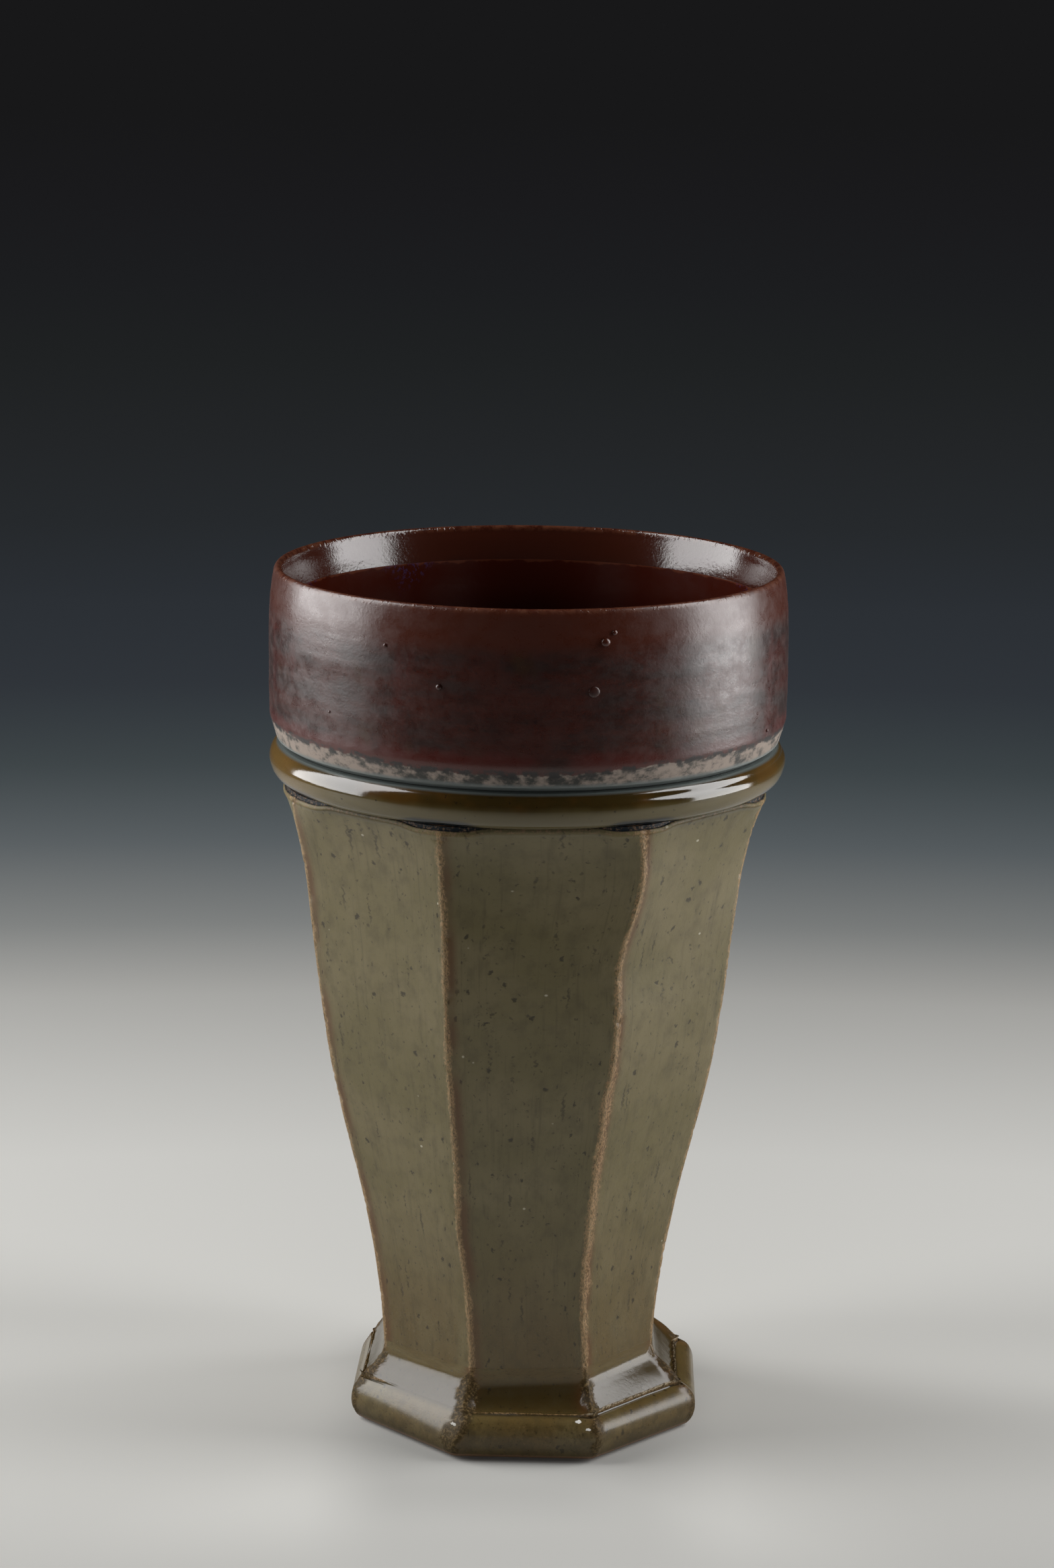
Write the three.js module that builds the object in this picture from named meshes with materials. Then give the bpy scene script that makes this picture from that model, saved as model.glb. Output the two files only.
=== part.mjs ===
// A stoneware cup: a thrown tumbler cut to eight sides, with a rolled foot flange, a turned bead
// and a round collar, glazed all over but for the ring that it stands on.
// Millimetres, +Z up. The origin is on the table, under the axis that the cup was thrown on.
import * as THREE from "three";
import { mergeVertices } from "three/addons/utils/BufferGeometryUtils.js";

// Foot. A reach is measured over the glaze, from the axis to the middle of a flat side.
const flangeReach = 28.9;
const flangeRoll = 2.5; // how far the rolled edge bulges, centre to crest
const contactInset = 2.3; // crest of the rolled edge in to the line that it stands on
const ledgeHeight = 7.3; // top of the rolled edge
const coveInset = 2.7; // crest of the rolled edge in to the outer end of the cove
const coveStep = 0.3; // the cut edge of the cove stands this much above the roll
const ringWidth = 8.1; // bare ring that the cup stands on
const recessDepth = 2.2;
const recessChamfer = 0.8;
const bareMargin = 1; // bare clay between the table and the glaze

// Eight-sided wall, from its waist to the crevice under the bead.
const waistHeight = 14;
const waistInset = 6.5; // crest of the rolled edge in to the waist
const wallRise = 95.3;
const thrownRadius = 41.2; // round form that the facets were cut from
const facetDepth = 2.1; // how far the facets cut into it at the top
// The outline passes through points at these shares of its rise and of its flare.
const wallShares = [
  [0, 0],
  [0.147, 0.081],
  [0.399, 0.377],
  [0.651, 0.638],
  [0.881, 0.79],
  [1, 1],
];

// Bead and the groove above it, each measured from the round form.
const creviceDepth = 1.2;
const beadStand = 1.25; // round form out to the crest of the bead
const beadCrestRise = 3.4; // crevice to crest
const beadShoulderRise = 2.2; // crest to the edge of the groove
const beadShoulderInset = 1.65;
const grooveRise = 0.4; // edge of the bead to the root of the groove
const grooveDepth = 1.3;

// Collar and lip. An inset is measured from the collar's straight side.
const collarStand = 1.3; // round form out to the straight side
const collarLipRise = 28.7; // root of the groove to the crest of the lip
const chamferRise = 0.9; // root of the groove to the foot of the chamfer
const chamferInset = 1.3;
const chamferHeight = 2.9;
const collarEdgeInset = 0.3;
const collarEdgeRise = 0.9; // top of the chamfer to the straight side
const lipRound = 3.6; // height of the rounded outer edge of the lip
const lipCrestInset = 1.3;
const lipInnerDrop = 1.4;
const lipInnerInset = 2.5;
const rimBandDrop = 5.7; // crest of the lip to the line where the rim coat ends inside
const rimBandInset = 3.5;

// Inside.
const wallThickness = 4.6; // from a flat side through to the inside, glaze included
const collarThickness = 4.7; // the same at the middle of the collar
const collarThickHeight = 10; // root of the groove to where that is measured
const grooveThickness = 4;
const floorHeight = 9.5;
const floorRound = 6;

// Coats, seams and the hand-cut sides.
const glazeThickness = 0.5;
const bondGap = 0.3; // between a coat and its clay
const slipGap = 0.3; // round a tongue, in its gallery
const tongueHeight = 2;
const facetDirections = [3.5, 47, 90, 134.5, 179.5, 225, 270, 319.5]; // degrees from the front
const flangeTurn = -1.5; // the flange was cut regular, turned this much against the front
const facetShift = -0.4; // how far off the axis, in X, each set of sides was cut
const flangeShift = 0.8;

// Fineness of the mesh.
const stepsPerSide = 5;
const wallSteps = 15;
const insideSteps = 9;
const rollSteps = 5;
const coveSteps = 4;
const beadSteps = 3;
const lipSteps = 3;
const leastMitre = 0.5; // keeps a sharp corner of a moved outline from running far out

const sides = facetDirections.length;
const fullTurn = 360;
const flangeDirections = facetDirections.map((_, side) => flangeTurn + (side * fullTurn) / sides);
const coat = glazeThickness + bondGap; // glazed face to clay

// Reaches and radii that follow from the flange and from the round form.
const contactReach = flangeReach - contactInset;
const coveReach = flangeReach - coveInset;
const waistReach = flangeReach - waistInset;
const recessRadius = contactReach - ringWidth;
const wallFlare = thrownRadius - facetDepth - waistReach;
const creviceRadius = thrownRadius - creviceDepth;
const beadRadius = thrownRadius + beadStand;
const beadShoulderRadius = beadRadius - beadShoulderInset;
const grooveRadius = thrownRadius - grooveDepth;
const collarRadius = thrownRadius + collarStand;
const chamferRadius = collarRadius - chamferInset;
const collarEdgeRadius = collarRadius - collarEdgeInset;
const lipCrestRadius = collarRadius - lipCrestInset;
const lipInnerRadius = collarRadius - lipInnerInset;
const rimBandRadius = collarRadius - rimBandInset;

// Heights that follow from the stack.
const coveHeight = ledgeHeight + coveStep;
const wallHeight = waistHeight + wallRise; // the crevice under the bead
const beadCrestHeight = wallHeight + beadCrestRise;
const beadTopHeight = beadCrestHeight + beadShoulderRise;
const grooveHeight = beadTopHeight + grooveRise;
const chamferFoot = grooveHeight + chamferRise;
const collarEdgeHeight = chamferFoot + chamferHeight;
const collarFoot = collarEdgeHeight + collarEdgeRise;
const lipHeight = grooveHeight + collarLipRise;
const lineHeight = lipHeight - rimBandDrop;

// A point of an outline. flange says how far the cut there follows the flange, 1, or the facets, 0.
// outer is the reach of the glazed face that the point lies on or under.
function at(reach, height, flange = 0, outer = reach) {
  return { reach, height, flange, outer };
}

function alongCurve(curve, steps) {
  return curve.getPoints(steps).map((p) => at(p.x, p.y));
}

// Points of an ellipse's arc, its angles in degrees and counted from outwards to upwards.
function arc(reach, height, reachRadius, heightRadius, from, to, steps) {
  const { degToRad } = THREE.MathUtils;
  const clockwise = to < from;
  return alongCurve(
    new THREE.EllipseCurve(reach, height, reachRadius, heightRadius, degToRad(from), degToRad(to), clockwise),
    steps,
  );
}

// The glazed outside of the foot, from the table up to the waist.
function footOutline() {
  const rollCentre = flangeReach - flangeRoll;
  const rollHalf = ledgeHeight / 2;
  const lowest = THREE.MathUtils.radToDeg(Math.acos((contactReach - rollCentre) / flangeRoll));
  const roll = arc(rollCentre, rollHalf, flangeRoll, rollHalf, -lowest, lowest, rollSteps);
  roll[0].height = 0;
  const cove = arc(
    coveReach,
    waistHeight,
    coveReach - waistReach,
    waistHeight - coveHeight,
    270,
    180,
    coveSteps,
  );
  for (const p of roll) p.flange = 1;
  for (const p of cove) p.flange = (waistHeight - p.height) / (waistHeight - coveHeight);
  return [...roll, ...cove];
}

const wallPoints = wallShares.map(
  ([rise, flare]) => new THREE.Vector2(waistReach + flare * wallFlare, waistHeight + rise * wallRise),
);

function wallOutline() {
  return alongCurve(new THREE.SplineCurve(wallPoints), wallSteps);
}

// The bead, from the crevice under it to the root of the groove above it.
function beadOutline() {
  const bulge = beadRadius - creviceRadius;
  const crown = beadRadius - beadShoulderRadius;
  return [
    ...arc(creviceRadius, beadCrestHeight, bulge, beadCrestRise, -90, 0, beadSteps),
    ...arc(beadShoulderRadius, beadCrestHeight, crown, beadShoulderRise, 0, 90, beadSteps).slice(1),
    at(grooveRadius, grooveHeight),
  ];
}

// The collar, from the root of the groove over the lip and down to the line inside it.
function collarOutline() {
  const lipReach = collarRadius - lipCrestRadius;
  return [
    at(grooveRadius, grooveHeight),
    at(chamferRadius, chamferFoot),
    at(collarEdgeRadius, collarEdgeHeight),
    at(collarRadius, collarFoot),
    ...arc(lipCrestRadius, lipHeight - lipRound, lipReach, lipRound, 0, 90, lipSteps),
    ...arc(
      lipCrestRadius,
      lipHeight - lipInnerDrop,
      lipCrestRadius - lipInnerRadius,
      lipInnerDrop,
      90,
      180,
      lipSteps,
    ).slice(1),
    at(rimBandRadius, lineHeight),
  ];
}

// The wet inside, from the middle of the floor up to the line under the lip.
function insideOutline() {
  const rising = wallPoints.map((p) => new THREE.Vector2(p.x - wallThickness, p.y));
  const waist = rising[0];
  const upper = [
    ...rising,
    new THREE.Vector2(grooveRadius - grooveThickness, grooveHeight),
    new THREE.Vector2(collarRadius - collarThickness, grooveHeight + collarThickHeight),
    new THREE.Vector2(rimBandRadius, lineHeight),
  ];
  return [
    at(0, floorHeight),
    ...arc(waist.x - floorRound, waist.y, floorRound, waist.y - floorHeight, -90, 0, beadSteps),
    ...alongCurve(new THREE.SplineCurve(upper), insideSteps).slice(1),
  ];
}

// An outline moved to its left by a distance. Its ends keep their heights, and an end on the axis
// stays on it.
function moved(outline, distance) {
  return outline.map((p, i) => {
    const before = outline[Math.max(i - 1, 0)];
    const after = outline[Math.min(i + 1, outline.length - 1)];
    const along = (a, b) => new THREE.Vector2(b.reach - a.reach, b.height - a.height).normalize();
    if (p.reach === 0) return { ...p, height: p.height + distance };
    if (i === 0 || i === outline.length - 1) {
      const direction = along(before, after);
      return { ...p, reach: p.reach - distance / direction.y };
    }
    const inward = along(before, p);
    const outward = along(p, after);
    const middle = inward.clone().add(outward).normalize();
    const widen = distance / Math.max(middle.dot(inward), leastMitre);
    return { ...p, reach: p.reach - middle.y * widen, height: p.height + middle.x * widen };
  });
}

// Where a rising outline passes a height.
function crossing(outline, height) {
  const next = outline.findIndex((p) => p.height > height);
  const above = outline[next === -1 ? outline.length - 1 : next];
  const below = outline[next === -1 ? outline.length - 2 : Math.max(next - 1, 0)];
  const share = (height - below.height) / (above.height - below.height);
  const { lerp } = THREE.MathUtils;
  const mix = (key) => lerp(below[key], above[key], share);
  return at(mix("reach"), height, mix("flange"), mix("outer"));
}

// The stretch of a rising outline between two heights.
function between(outline, low, high) {
  const inside = outline.filter((p) => p.height > low && p.height < high);
  return [crossing(outline, low), ...inside, crossing(outline, high)];
}

// The eight corners, as points on the plan, of sides that all lie at a reach of 1.
function cornersOf(directions) {
  const normals = directions.map((degrees) => {
    const turn = THREE.MathUtils.degToRad(degrees);
    return new THREE.Vector2(Math.sin(turn), -Math.cos(turn));
  });
  return normals.map((normal, side) => {
    const previous = normals[(side + sides - 1) % sides];
    return normal.clone().add(previous).divideScalar(1 + normal.dot(previous));
  });
}

const facetCorners = cornersOf(facetDirections);
const flangeCorners = cornersOf(flangeDirections);

// Plan position of a point on a flat-sided ring. spot counts steps round it from the first corner.
function onSides(spot, p) {
  const side = Math.floor(spot / stepsPerSide) % sides;
  const share = (spot % stepsPerSide) / stepsPerSide;
  const cornerOf = (index) => facetCorners[index].clone().lerp(flangeCorners[index], p.flange);
  const direction = cornerOf(side).lerp(cornerOf((side + 1) % sides), share);
  const shift = new THREE.Vector2(THREE.MathUtils.lerp(facetShift, flangeShift, p.flange), 0);
  const planAt = (reach) => shift.clone().addScaledVector(direction, reach);
  const plan = planAt(p.reach);
  const leftRound = Math.max(planAt(p.outer).length() - thrownRadius, 0);
  return plan.setLength(plan.length() - leftRound);
}

function onRound(spot, p) {
  const side = Math.floor(spot / stepsPerSide) % sides;
  const share = (spot % stepsPerSide) / stepsPerSide;
  const from = facetCorners[side];
  const to = facetCorners[(side + 1) % sides];
  const sweep = Math.atan2(from.cross(to), from.dot(to));
  return from.clone().rotateAround(new THREE.Vector2(), sweep * share).setLength(p.reach);
}

// A solid of revolution, cut flat on the outlines that say so. Outlines are listed in the order in
// which they follow each other round the section, with the solid on their left.
function turnedSolid(...outlines) {
  const section = outlines.flatMap(({ points, place }) => points.map((p) => ({ ...p, place })));
  const onAxis = section[0].reach === 0;
  if (!onAxis) section.push(section[0]);
  const profile = section.map((p) => new THREE.Vector2(p.reach, p.height));
  const spots = sides * stepsPerSide;
  const geometry = new THREE.LatheGeometry(profile, spots);
  const position = geometry.getAttribute("position");
  for (let i = 0; i < position.count; i++) {
    const p = section[i % section.length];
    const spot = Math.floor(i / section.length) % spots;
    const plan = p.reach === 0 ? new THREE.Vector2() : p.place(spot, p);
    position.setXYZ(i, plan.x, plan.y, p.height);
  }
  alignDiagonals(geometry.getIndex(), section);
  geometry.deleteAttribute("normal");
  geometry.deleteAttribute("uv");
  return mergeVertices(geometry);
}

// Splits the quads of a falling outline along their other diagonal, so that the two faces of a
// coat, one rising and one falling, bend along the same lines.
function alignDiagonals(index, section) {
  const perQuad = 6;
  const rows = section.length - 1;
  for (let quad = 0; quad * perQuad < index.count; quad++) {
    const row = quad % rows;
    if (section[row + 1].height >= section[row].height) continue;
    const [a, b, d, c] = [0, 1, 2, 3].map((corner) => index.getX(quad * perQuad + corner));
    [a, b, c, c, d, a].forEach((vertex, place) => index.setX(quad * perQuad + place, vertex));
  }
}

const flat = (points) => ({ points, place: onSides });
const round = (points) => ({ points, place: onRound });
const downwards = (points) => [...points].reverse();

const outside = {
  foot: footOutline(),
  wall: wallOutline(),
  bead: beadOutline(),
  collar: collarOutline(),
};
const body = [...outside.foot, ...outside.wall.slice(1)];
const upperBody = [...outside.bead, ...outside.collar.slice(1)];
const inside = insideOutline();

// Under the glaze: the back of each coat, and the clay behind it.
const coatBack = { body: moved(body, glazeThickness), upper: moved(upperBody, glazeThickness) };
const clay = { body: moved(body, coat), upper: moved(upperBody, coat) };
const linerBack = moved(inside, -glazeThickness);
const clayInside = moved(inside, -coat);

// A seam between two clay sections: half of the thickness is a tongue of the upper one.
function seamAt(height, outerReach) {
  const inner = crossing(clayInside, height).reach;
  const gallery = (inner + outerReach) / 2 + slipGap / 2;
  return { height, foot: height - tongueHeight, gallery, tongue: gallery - slipGap };
}
const waistSeam = seamAt(waistHeight, crossing(clay.body, waistHeight).reach);
const creviceSeam = seamAt(wallHeight, clay.upper[0].reach);
const grooveSeam = seamAt(grooveHeight, crossing(clay.upper, grooveHeight).reach);

// The upper face of a section, inwards from its outside, with the gallery for the next tongue.
function galleryStep(seam) {
  return round([at(seam.gallery, seam.height), at(seam.gallery, seam.foot)]);
}
// The lower face of a section, outwards from its inside, with its tongue.
function tongueStep(seam) {
  return round([at(seam.tongue, seam.foot), at(seam.tongue, seam.height)]);
}

function baseGeometry() {
  const rim = between(outside.foot, 0, bareMargin);
  const covered = between(clay.body, bareMargin, waistHeight);
  const innerRecess = recessRadius - recessChamfer;
  const bowl = between(clayInside.slice(1), clayInside[1].height, waistSeam.foot).slice(1);
  return turnedSolid(
    round([at(0, recessDepth), at(innerRecess, recessDepth), at(recessRadius, 0)]),
    flat([...rim, ...covered]),
    galleryStep(waistSeam),
    round(downwards(bowl)),
    round([clayInside[1], clayInside[0]]),
  );
}

function wallGeometry() {
  return turnedSolid(
    tongueStep(waistSeam),
    flat(between(clay.body, waistHeight, wallHeight)),
    galleryStep(creviceSeam),
    round(downwards(between(clayInside, waistSeam.foot, creviceSeam.foot))),
  );
}

function beadGeometry() {
  return turnedSolid(
    tongueStep(creviceSeam),
    round(between(clay.upper, wallHeight, grooveHeight)),
    galleryStep(grooveSeam),
    round(downwards(between(clayInside, creviceSeam.foot, grooveSeam.foot))),
  );
}

// The part of the upper outline that belongs to the collar, over the lip to its end.
function collarStretch(outline) {
  const first = outline.findIndex((p) => p.height > grooveHeight);
  return [crossing(outline, grooveHeight), ...outline.slice(first)];
}

function collarGeometry() {
  return turnedSolid(
    tongueStep(grooveSeam),
    round(collarStretch(clay.upper)),
    round(downwards(between(clayInside, grooveSeam.foot, lineHeight)).slice(1)),
  );
}

function footGlazeGeometry() {
  return turnedSolid(
    flat(between(outside.foot, bareMargin, waistHeight)),
    flat(downwards(between(coatBack.body, bareMargin, waistHeight))),
  );
}

function facetGlazeGeometry() {
  return turnedSolid(
    flat(between(body, waistHeight, wallHeight)),
    flat(downwards(between(coatBack.body, waistHeight, wallHeight))),
  );
}

function beadGlazeGeometry() {
  return turnedSolid(
    round(outside.bead),
    round(downwards(between(coatBack.upper, wallHeight, grooveHeight))),
  );
}

function collarGlazeGeometry() {
  return turnedSolid(round(outside.collar), round(downwards(collarStretch(coatBack.upper))));
}

function linerGlazeGeometry() {
  return turnedSolid(round(linerBack), round(downwards(inside)));
}

const stoneware = new THREE.MeshStandardMaterial({ color: 0x9c8b74, roughness: 0.9, metalness: 0 });
const ashGlaze = new THREE.MeshStandardMaterial({ color: 0x7c7660, roughness: 0.35, metalness: 0 });
const amberGlaze = new THREE.MeshStandardMaterial({ color: 0x776039, roughness: 0.2, metalness: 0 });
const ironGlaze = new THREE.MeshStandardMaterial({ color: 0x4a211a, roughness: 0.4, metalness: 0 });
const linerGlaze = new THREE.MeshStandardMaterial({ color: 0x2c0d08, roughness: 0.12, metalness: 0 });

function piece(name, geometry, material) {
  const mesh = new THREE.Mesh(geometry, material);
  mesh.name = name;
  return mesh;
}

const claySections = new THREE.Group();
claySections.add(
  piece("base", baseGeometry(), stoneware),
  piece("faceted_wall", wallGeometry(), stoneware),
  piece("bead_ring", beadGeometry(), stoneware),
  piece("collar", collarGeometry(), stoneware),
);

const glazeCoats = new THREE.Group();
glazeCoats.add(
  piece("foot_glaze", footGlazeGeometry(), ashGlaze),
  piece("facet_glaze", facetGlazeGeometry(), ashGlaze),
  piece("bead_glaze", beadGlazeGeometry(), amberGlaze),
  piece("collar_glaze", collarGlazeGeometry(), ironGlaze),
  piece("liner_glaze", linerGlazeGeometry(), linerGlaze),
);

const cup = new THREE.Group();
cup.add(claySections, glazeCoats);

export default cup;
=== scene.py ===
import math

import bmesh
import bpy
import numpy as np
from mathutils import Euler, Matrix, Vector, noise


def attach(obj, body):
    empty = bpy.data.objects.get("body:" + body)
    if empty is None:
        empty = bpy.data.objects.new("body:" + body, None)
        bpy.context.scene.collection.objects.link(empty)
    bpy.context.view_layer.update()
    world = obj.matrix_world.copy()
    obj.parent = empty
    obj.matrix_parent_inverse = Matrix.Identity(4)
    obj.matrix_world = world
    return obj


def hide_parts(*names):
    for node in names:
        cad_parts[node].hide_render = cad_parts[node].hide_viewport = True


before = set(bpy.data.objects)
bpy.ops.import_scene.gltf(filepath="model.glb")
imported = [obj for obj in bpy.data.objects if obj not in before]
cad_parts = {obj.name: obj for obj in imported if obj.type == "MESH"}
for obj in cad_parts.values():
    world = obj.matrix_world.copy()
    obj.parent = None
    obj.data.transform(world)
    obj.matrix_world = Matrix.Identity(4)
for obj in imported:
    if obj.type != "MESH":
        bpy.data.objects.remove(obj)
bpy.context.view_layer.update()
print("frame loaded:", len(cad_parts), "solids")


class Wire:
    # A socket of a node tree that can be written into sums; each sum adds its Math node.
    def __init__(self, tree, socket):
        self.tree, self.socket = tree, socket

    def work(self, operation, *terms):
        return self.tree.add("ShaderNodeMath", {"operation": operation}, dict(enumerate(terms)))

    def __add__(self, other):
        return self.work("ADD", self, other)

    def __sub__(self, other):
        return self.work("SUBTRACT", self, other)

    def __rsub__(self, other):
        return self.work("SUBTRACT", other, self)

    def __mul__(self, other):
        return self.work("MULTIPLY", self, other)

    def __truediv__(self, other):
        return self.work("DIVIDE", self, other)

    def __rtruediv__(self, other):
        return self.work("DIVIDE", other, self)

    def __abs__(self):
        return self.work("ABSOLUTE", self)

    def orMore(self, other):
        return self.work("MAXIMUM", self, other)

    __radd__ = __add__
    __rmul__ = __mul__


class NodeTree:
    def __init__(self, tree):
        self.tree = tree

    # Adds a node: its settings first, then a value or a wire for each socket named.
    def add(self, kind, settings=None, sockets=None, output=0):
        node = self.tree.nodes.new(kind)
        for name, value in (settings or {}).items():
            if name == "stops":
                self.fillRamp(node.color_ramp, value)
            else:
                setattr(node, name, value)
        for name, value in (sockets or {}).items():
            self.feed(node.inputs[name], value)
        return Wire(self, node.outputs[output]) if len(node.outputs) else node

    def feed(self, socket, value):
        if isinstance(value, Wire):
            self.tree.links.new(value.socket, socket)
        elif value is not None:
            socket.default_value = value

    def fillRamp(self, ramp, stops):
        while len(ramp.elements) < len(stops):
            ramp.elements.new(1)
        for element, (place, colour) in zip(ramp.elements, stops):
            element.position = place
            element.color = colour

    def partsOf(self, vector):
        first = self.add("ShaderNodeSeparateXYZ", {}, {0: vector})
        return [Wire(self, socket) for socket in first.socket.node.outputs]

    def joined(self, *parts):
        return self.add("ShaderNodeCombineXYZ", {}, dict(enumerate(parts)))

    def vector(self, operation, first, second):
        return self.add("ShaderNodeVectorMath", {"operation": operation}, {0: first, 1: second})

    def scaled(self, vector, *shares):
        return self.vector("MULTIPLY", vector, shares)

    def squashed(self, vector, share):
        return self.scaled(vector, 1.0, 1.0, share)

    def away(self, vector, middle):
        sockets = {0: vector, 1: middle}
        return self.add("ShaderNodeVectorMath", {"operation": "DISTANCE"}, sockets, output=1)

    def reach(self, across, deep):
        return across.work("SQRT", across * across + deep * deep)

    def blend(self, share, first, second):
        sockets = {0: share, 6: first, 7: second}
        return self.add("ShaderNodeMix", {"data_type": "RGBA"}, sockets, output=2)

    # A colour with others laid over it in turn, each with its share.
    def laid(self, colour, *coats):
        for share, coat in coats:
            colour = self.blend(share, colour, coat)
        return colour

    # 0 below low and 1 above high, or the other way round where high is the smaller.
    def step(self, value, low, high):
        settings = {"interpolation_type": "SMOOTHSTEP"}
        return self.add("ShaderNodeMapRange", settings, {0: value, 1: low, 2: high, 3: 0.0, 4: 1.0})

    def grain(self, place, scale, detail=2.0, roughness=0.5, output=0):
        sockets = {"Vector": place, "Scale": scale, "Detail": detail, "Roughness": roughness}
        return self.add("ShaderNodeTexNoise", {}, sockets, output)

    # Where noise rises from one of its values to another.
    def patches(self, low, high, *noiseValues):
        return self.step(self.grain(*noiseValues), low, high)

    def cells(self, place, scale):
        return self.add("ShaderNodeTexVoronoi", {}, {"Vector": place, "Scale": scale})

    def attribute(self, name, output=2):
        return self.add("ShaderNodeAttribute", {"attribute_name": name}, {}, output)

    def place(self):
        return self.add("ShaderNodeTexCoord", {}, {}, output=3)

    # The place in millimetres, and its three parts.
    def spot(self):
        spot = self.scaled(self.place(), 1000.0, 1000.0, 1000.0)
        return spot, *self.partsOf(spot)

    def bump(self, height, strength, distance):
        sockets = {"Strength": strength, "Distance": distance, "Height": height}
        return self.add("ShaderNodeBump", {}, sockets)

    def surface(self, colour, rough, normal, more=None):
        sockets = {"Base Color": colour, "Roughness": rough, "Normal": normal}
        return self.add("ShaderNodeBsdfPrincipled", {}, {**sockets, **(more or {})})


def tint(red, green, blue):
    # A colour written as it looks on screen, 0 to 255, as Blender's linear one.
    levels = [level / 255 for level in (red, green, blue)]
    return (*(v / 12.92 if v < 0.0405 else ((v + 0.055) / 1.055) ** 2.4 for v in levels), 1.0)


def startFinish(name):
    material = bpy.data.materials.new(name)
    material.use_nodes = True
    material.node_tree.nodes.clear()
    return material, NodeTree(material.node_tree)


def endFinish(tree, surface):
    tree.add("ShaderNodeOutputMaterial", {}, {"Surface": surface})


# Camera, lamps, floor and the room's dim light.
studio = {
    "cameraPlace": (0.0, -599.12, 245.06),
    "cameraDown": 12.944,
    "cameraRoll": 0.651,
    "lens": 85.73,
    "sensor": 36.0,
    # softboxes: away from the axis, nearest and farthest edge, lower and upper edge, radiance
    "lamps": ((-520, -150, 310, 75, 900, 6.5), (520, -140, 200, 12, 900, 6.4)),
    # the dim fill from beside the camera: place, width, height, radiance; it leaves no reflection
    "fill": ((-60, -900, 230), 700, 300, 2.1),
    "floorReach": 8000,
    "paper": tint(210, 209, 205),
    "room": tint(24, 24, 25),
    "paperCentre": (0, -60, 0),
    "paperStretch": (0.6, 1, 1),
    # the paper dims towards the viewer: where it is darkest, where that starts, the least share
    # painted shade on the paper, darker towards the viewer
    "dimFront": (-240, -85, 0.45),
    # painted light beside the foot, and a painted shadow before it
    # it is paler beside the foot, where the lamps' shadows cross, and darker before it: the change,
    # the middle, and where it sets in from the sides, from the viewer and from the back
    "lightAndShadowNearFoot": (
        (0.25, 0, (18, 36), (-80, -35), (40, 5)),
        (-0.13, -8, (34, 12), (-56, -38), (0, -20)),
    ),
    # a painted pool of light on the paper: pale round the cup, and dark further off
    # places along the floor, as d / (d + 1) of the stretched distance in metres from the centre
    "paintedLightPool": (
        (0.0, 0.69), (0.04, 0.71), (0.08, 0.80), (0.16, 0.78), (0.194, 0.69), (0.235, 0.563),
        (0.271, 0.335), (0.314, 0.18), (0.357, 0.071), (0.403, 0.021), (0.46, 0.0),
    ),
    "dimGlow": (
        (0.24, tint(0, 0, 0)), (0.271, tint(0, 25, 33)), (0.314, tint(13, 37, 48)),
        (0.357, tint(37, 48, 53)), (0.403, tint(42, 47, 53)), (0.452, tint(43, 47, 52)),
        (0.504, tint(38, 41, 44)), (0.558, tint(35, 37, 39)), (0.617, tint(31, 33, 34)),
        (0.677, tint(28, 29, 31)), (0.744, tint(26, 26, 28)), (0.816, tint(24, 24, 25)),
    ),
}


def standIn(name, data):
    thing = bpy.data.objects.new(name, data)
    bpy.context.scene.collection.objects.link(thing)
    return thing


def setCamera():
    cameraData = bpy.data.cameras.new("camera")
    cameraData.sensor_fit = "AUTO"
    cameraData.sensor_width = studio["sensor"]
    cameraData.lens = studio["lens"]
    camera = standIn("camera", cameraData)
    tilt = Euler((math.radians(90 - studio["cameraDown"]), 0, 0)).to_matrix()
    roll = Matrix.Rotation(math.radians(studio["cameraRoll"]), 3, "Z")
    place = Matrix.Translation(Vector(studio["cameraPlace"]) / 1000)
    camera.matrix_world = place @ (tilt @ roll).to_4x4()
    bpy.context.scene.camera = camera


def hangLamp(name, place, turn, wide, high, radiance):
    lampData = bpy.data.lights.new(name, "AREA")
    lampData.shape = "RECTANGLE"
    lampData.size, lampData.size_y = wide / 1000, high / 1000
    lampData.energy = math.pi * lampData.size * lampData.size_y * radiance
    lamp = standIn(name, lampData)
    lamp.location = [value / 1000 for value in place]
    lamp.rotation_euler = (math.pi / 2, 0, turn)
    lamp.visible_camera = False
    return lamp


def hangLamps():
    for away, near, far, low, high, radiance in studio["lamps"]:
        middle = (away, (near + far) / 2, (low + high) / 2)
        turn = math.copysign(math.pi / 2, away)
        hangLamp("softbox", middle, turn, far - near, high - low, radiance)
    place, *size = studio["fill"]
    hangLamp("fill", place, 0, *size).visible_glossy = False


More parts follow.
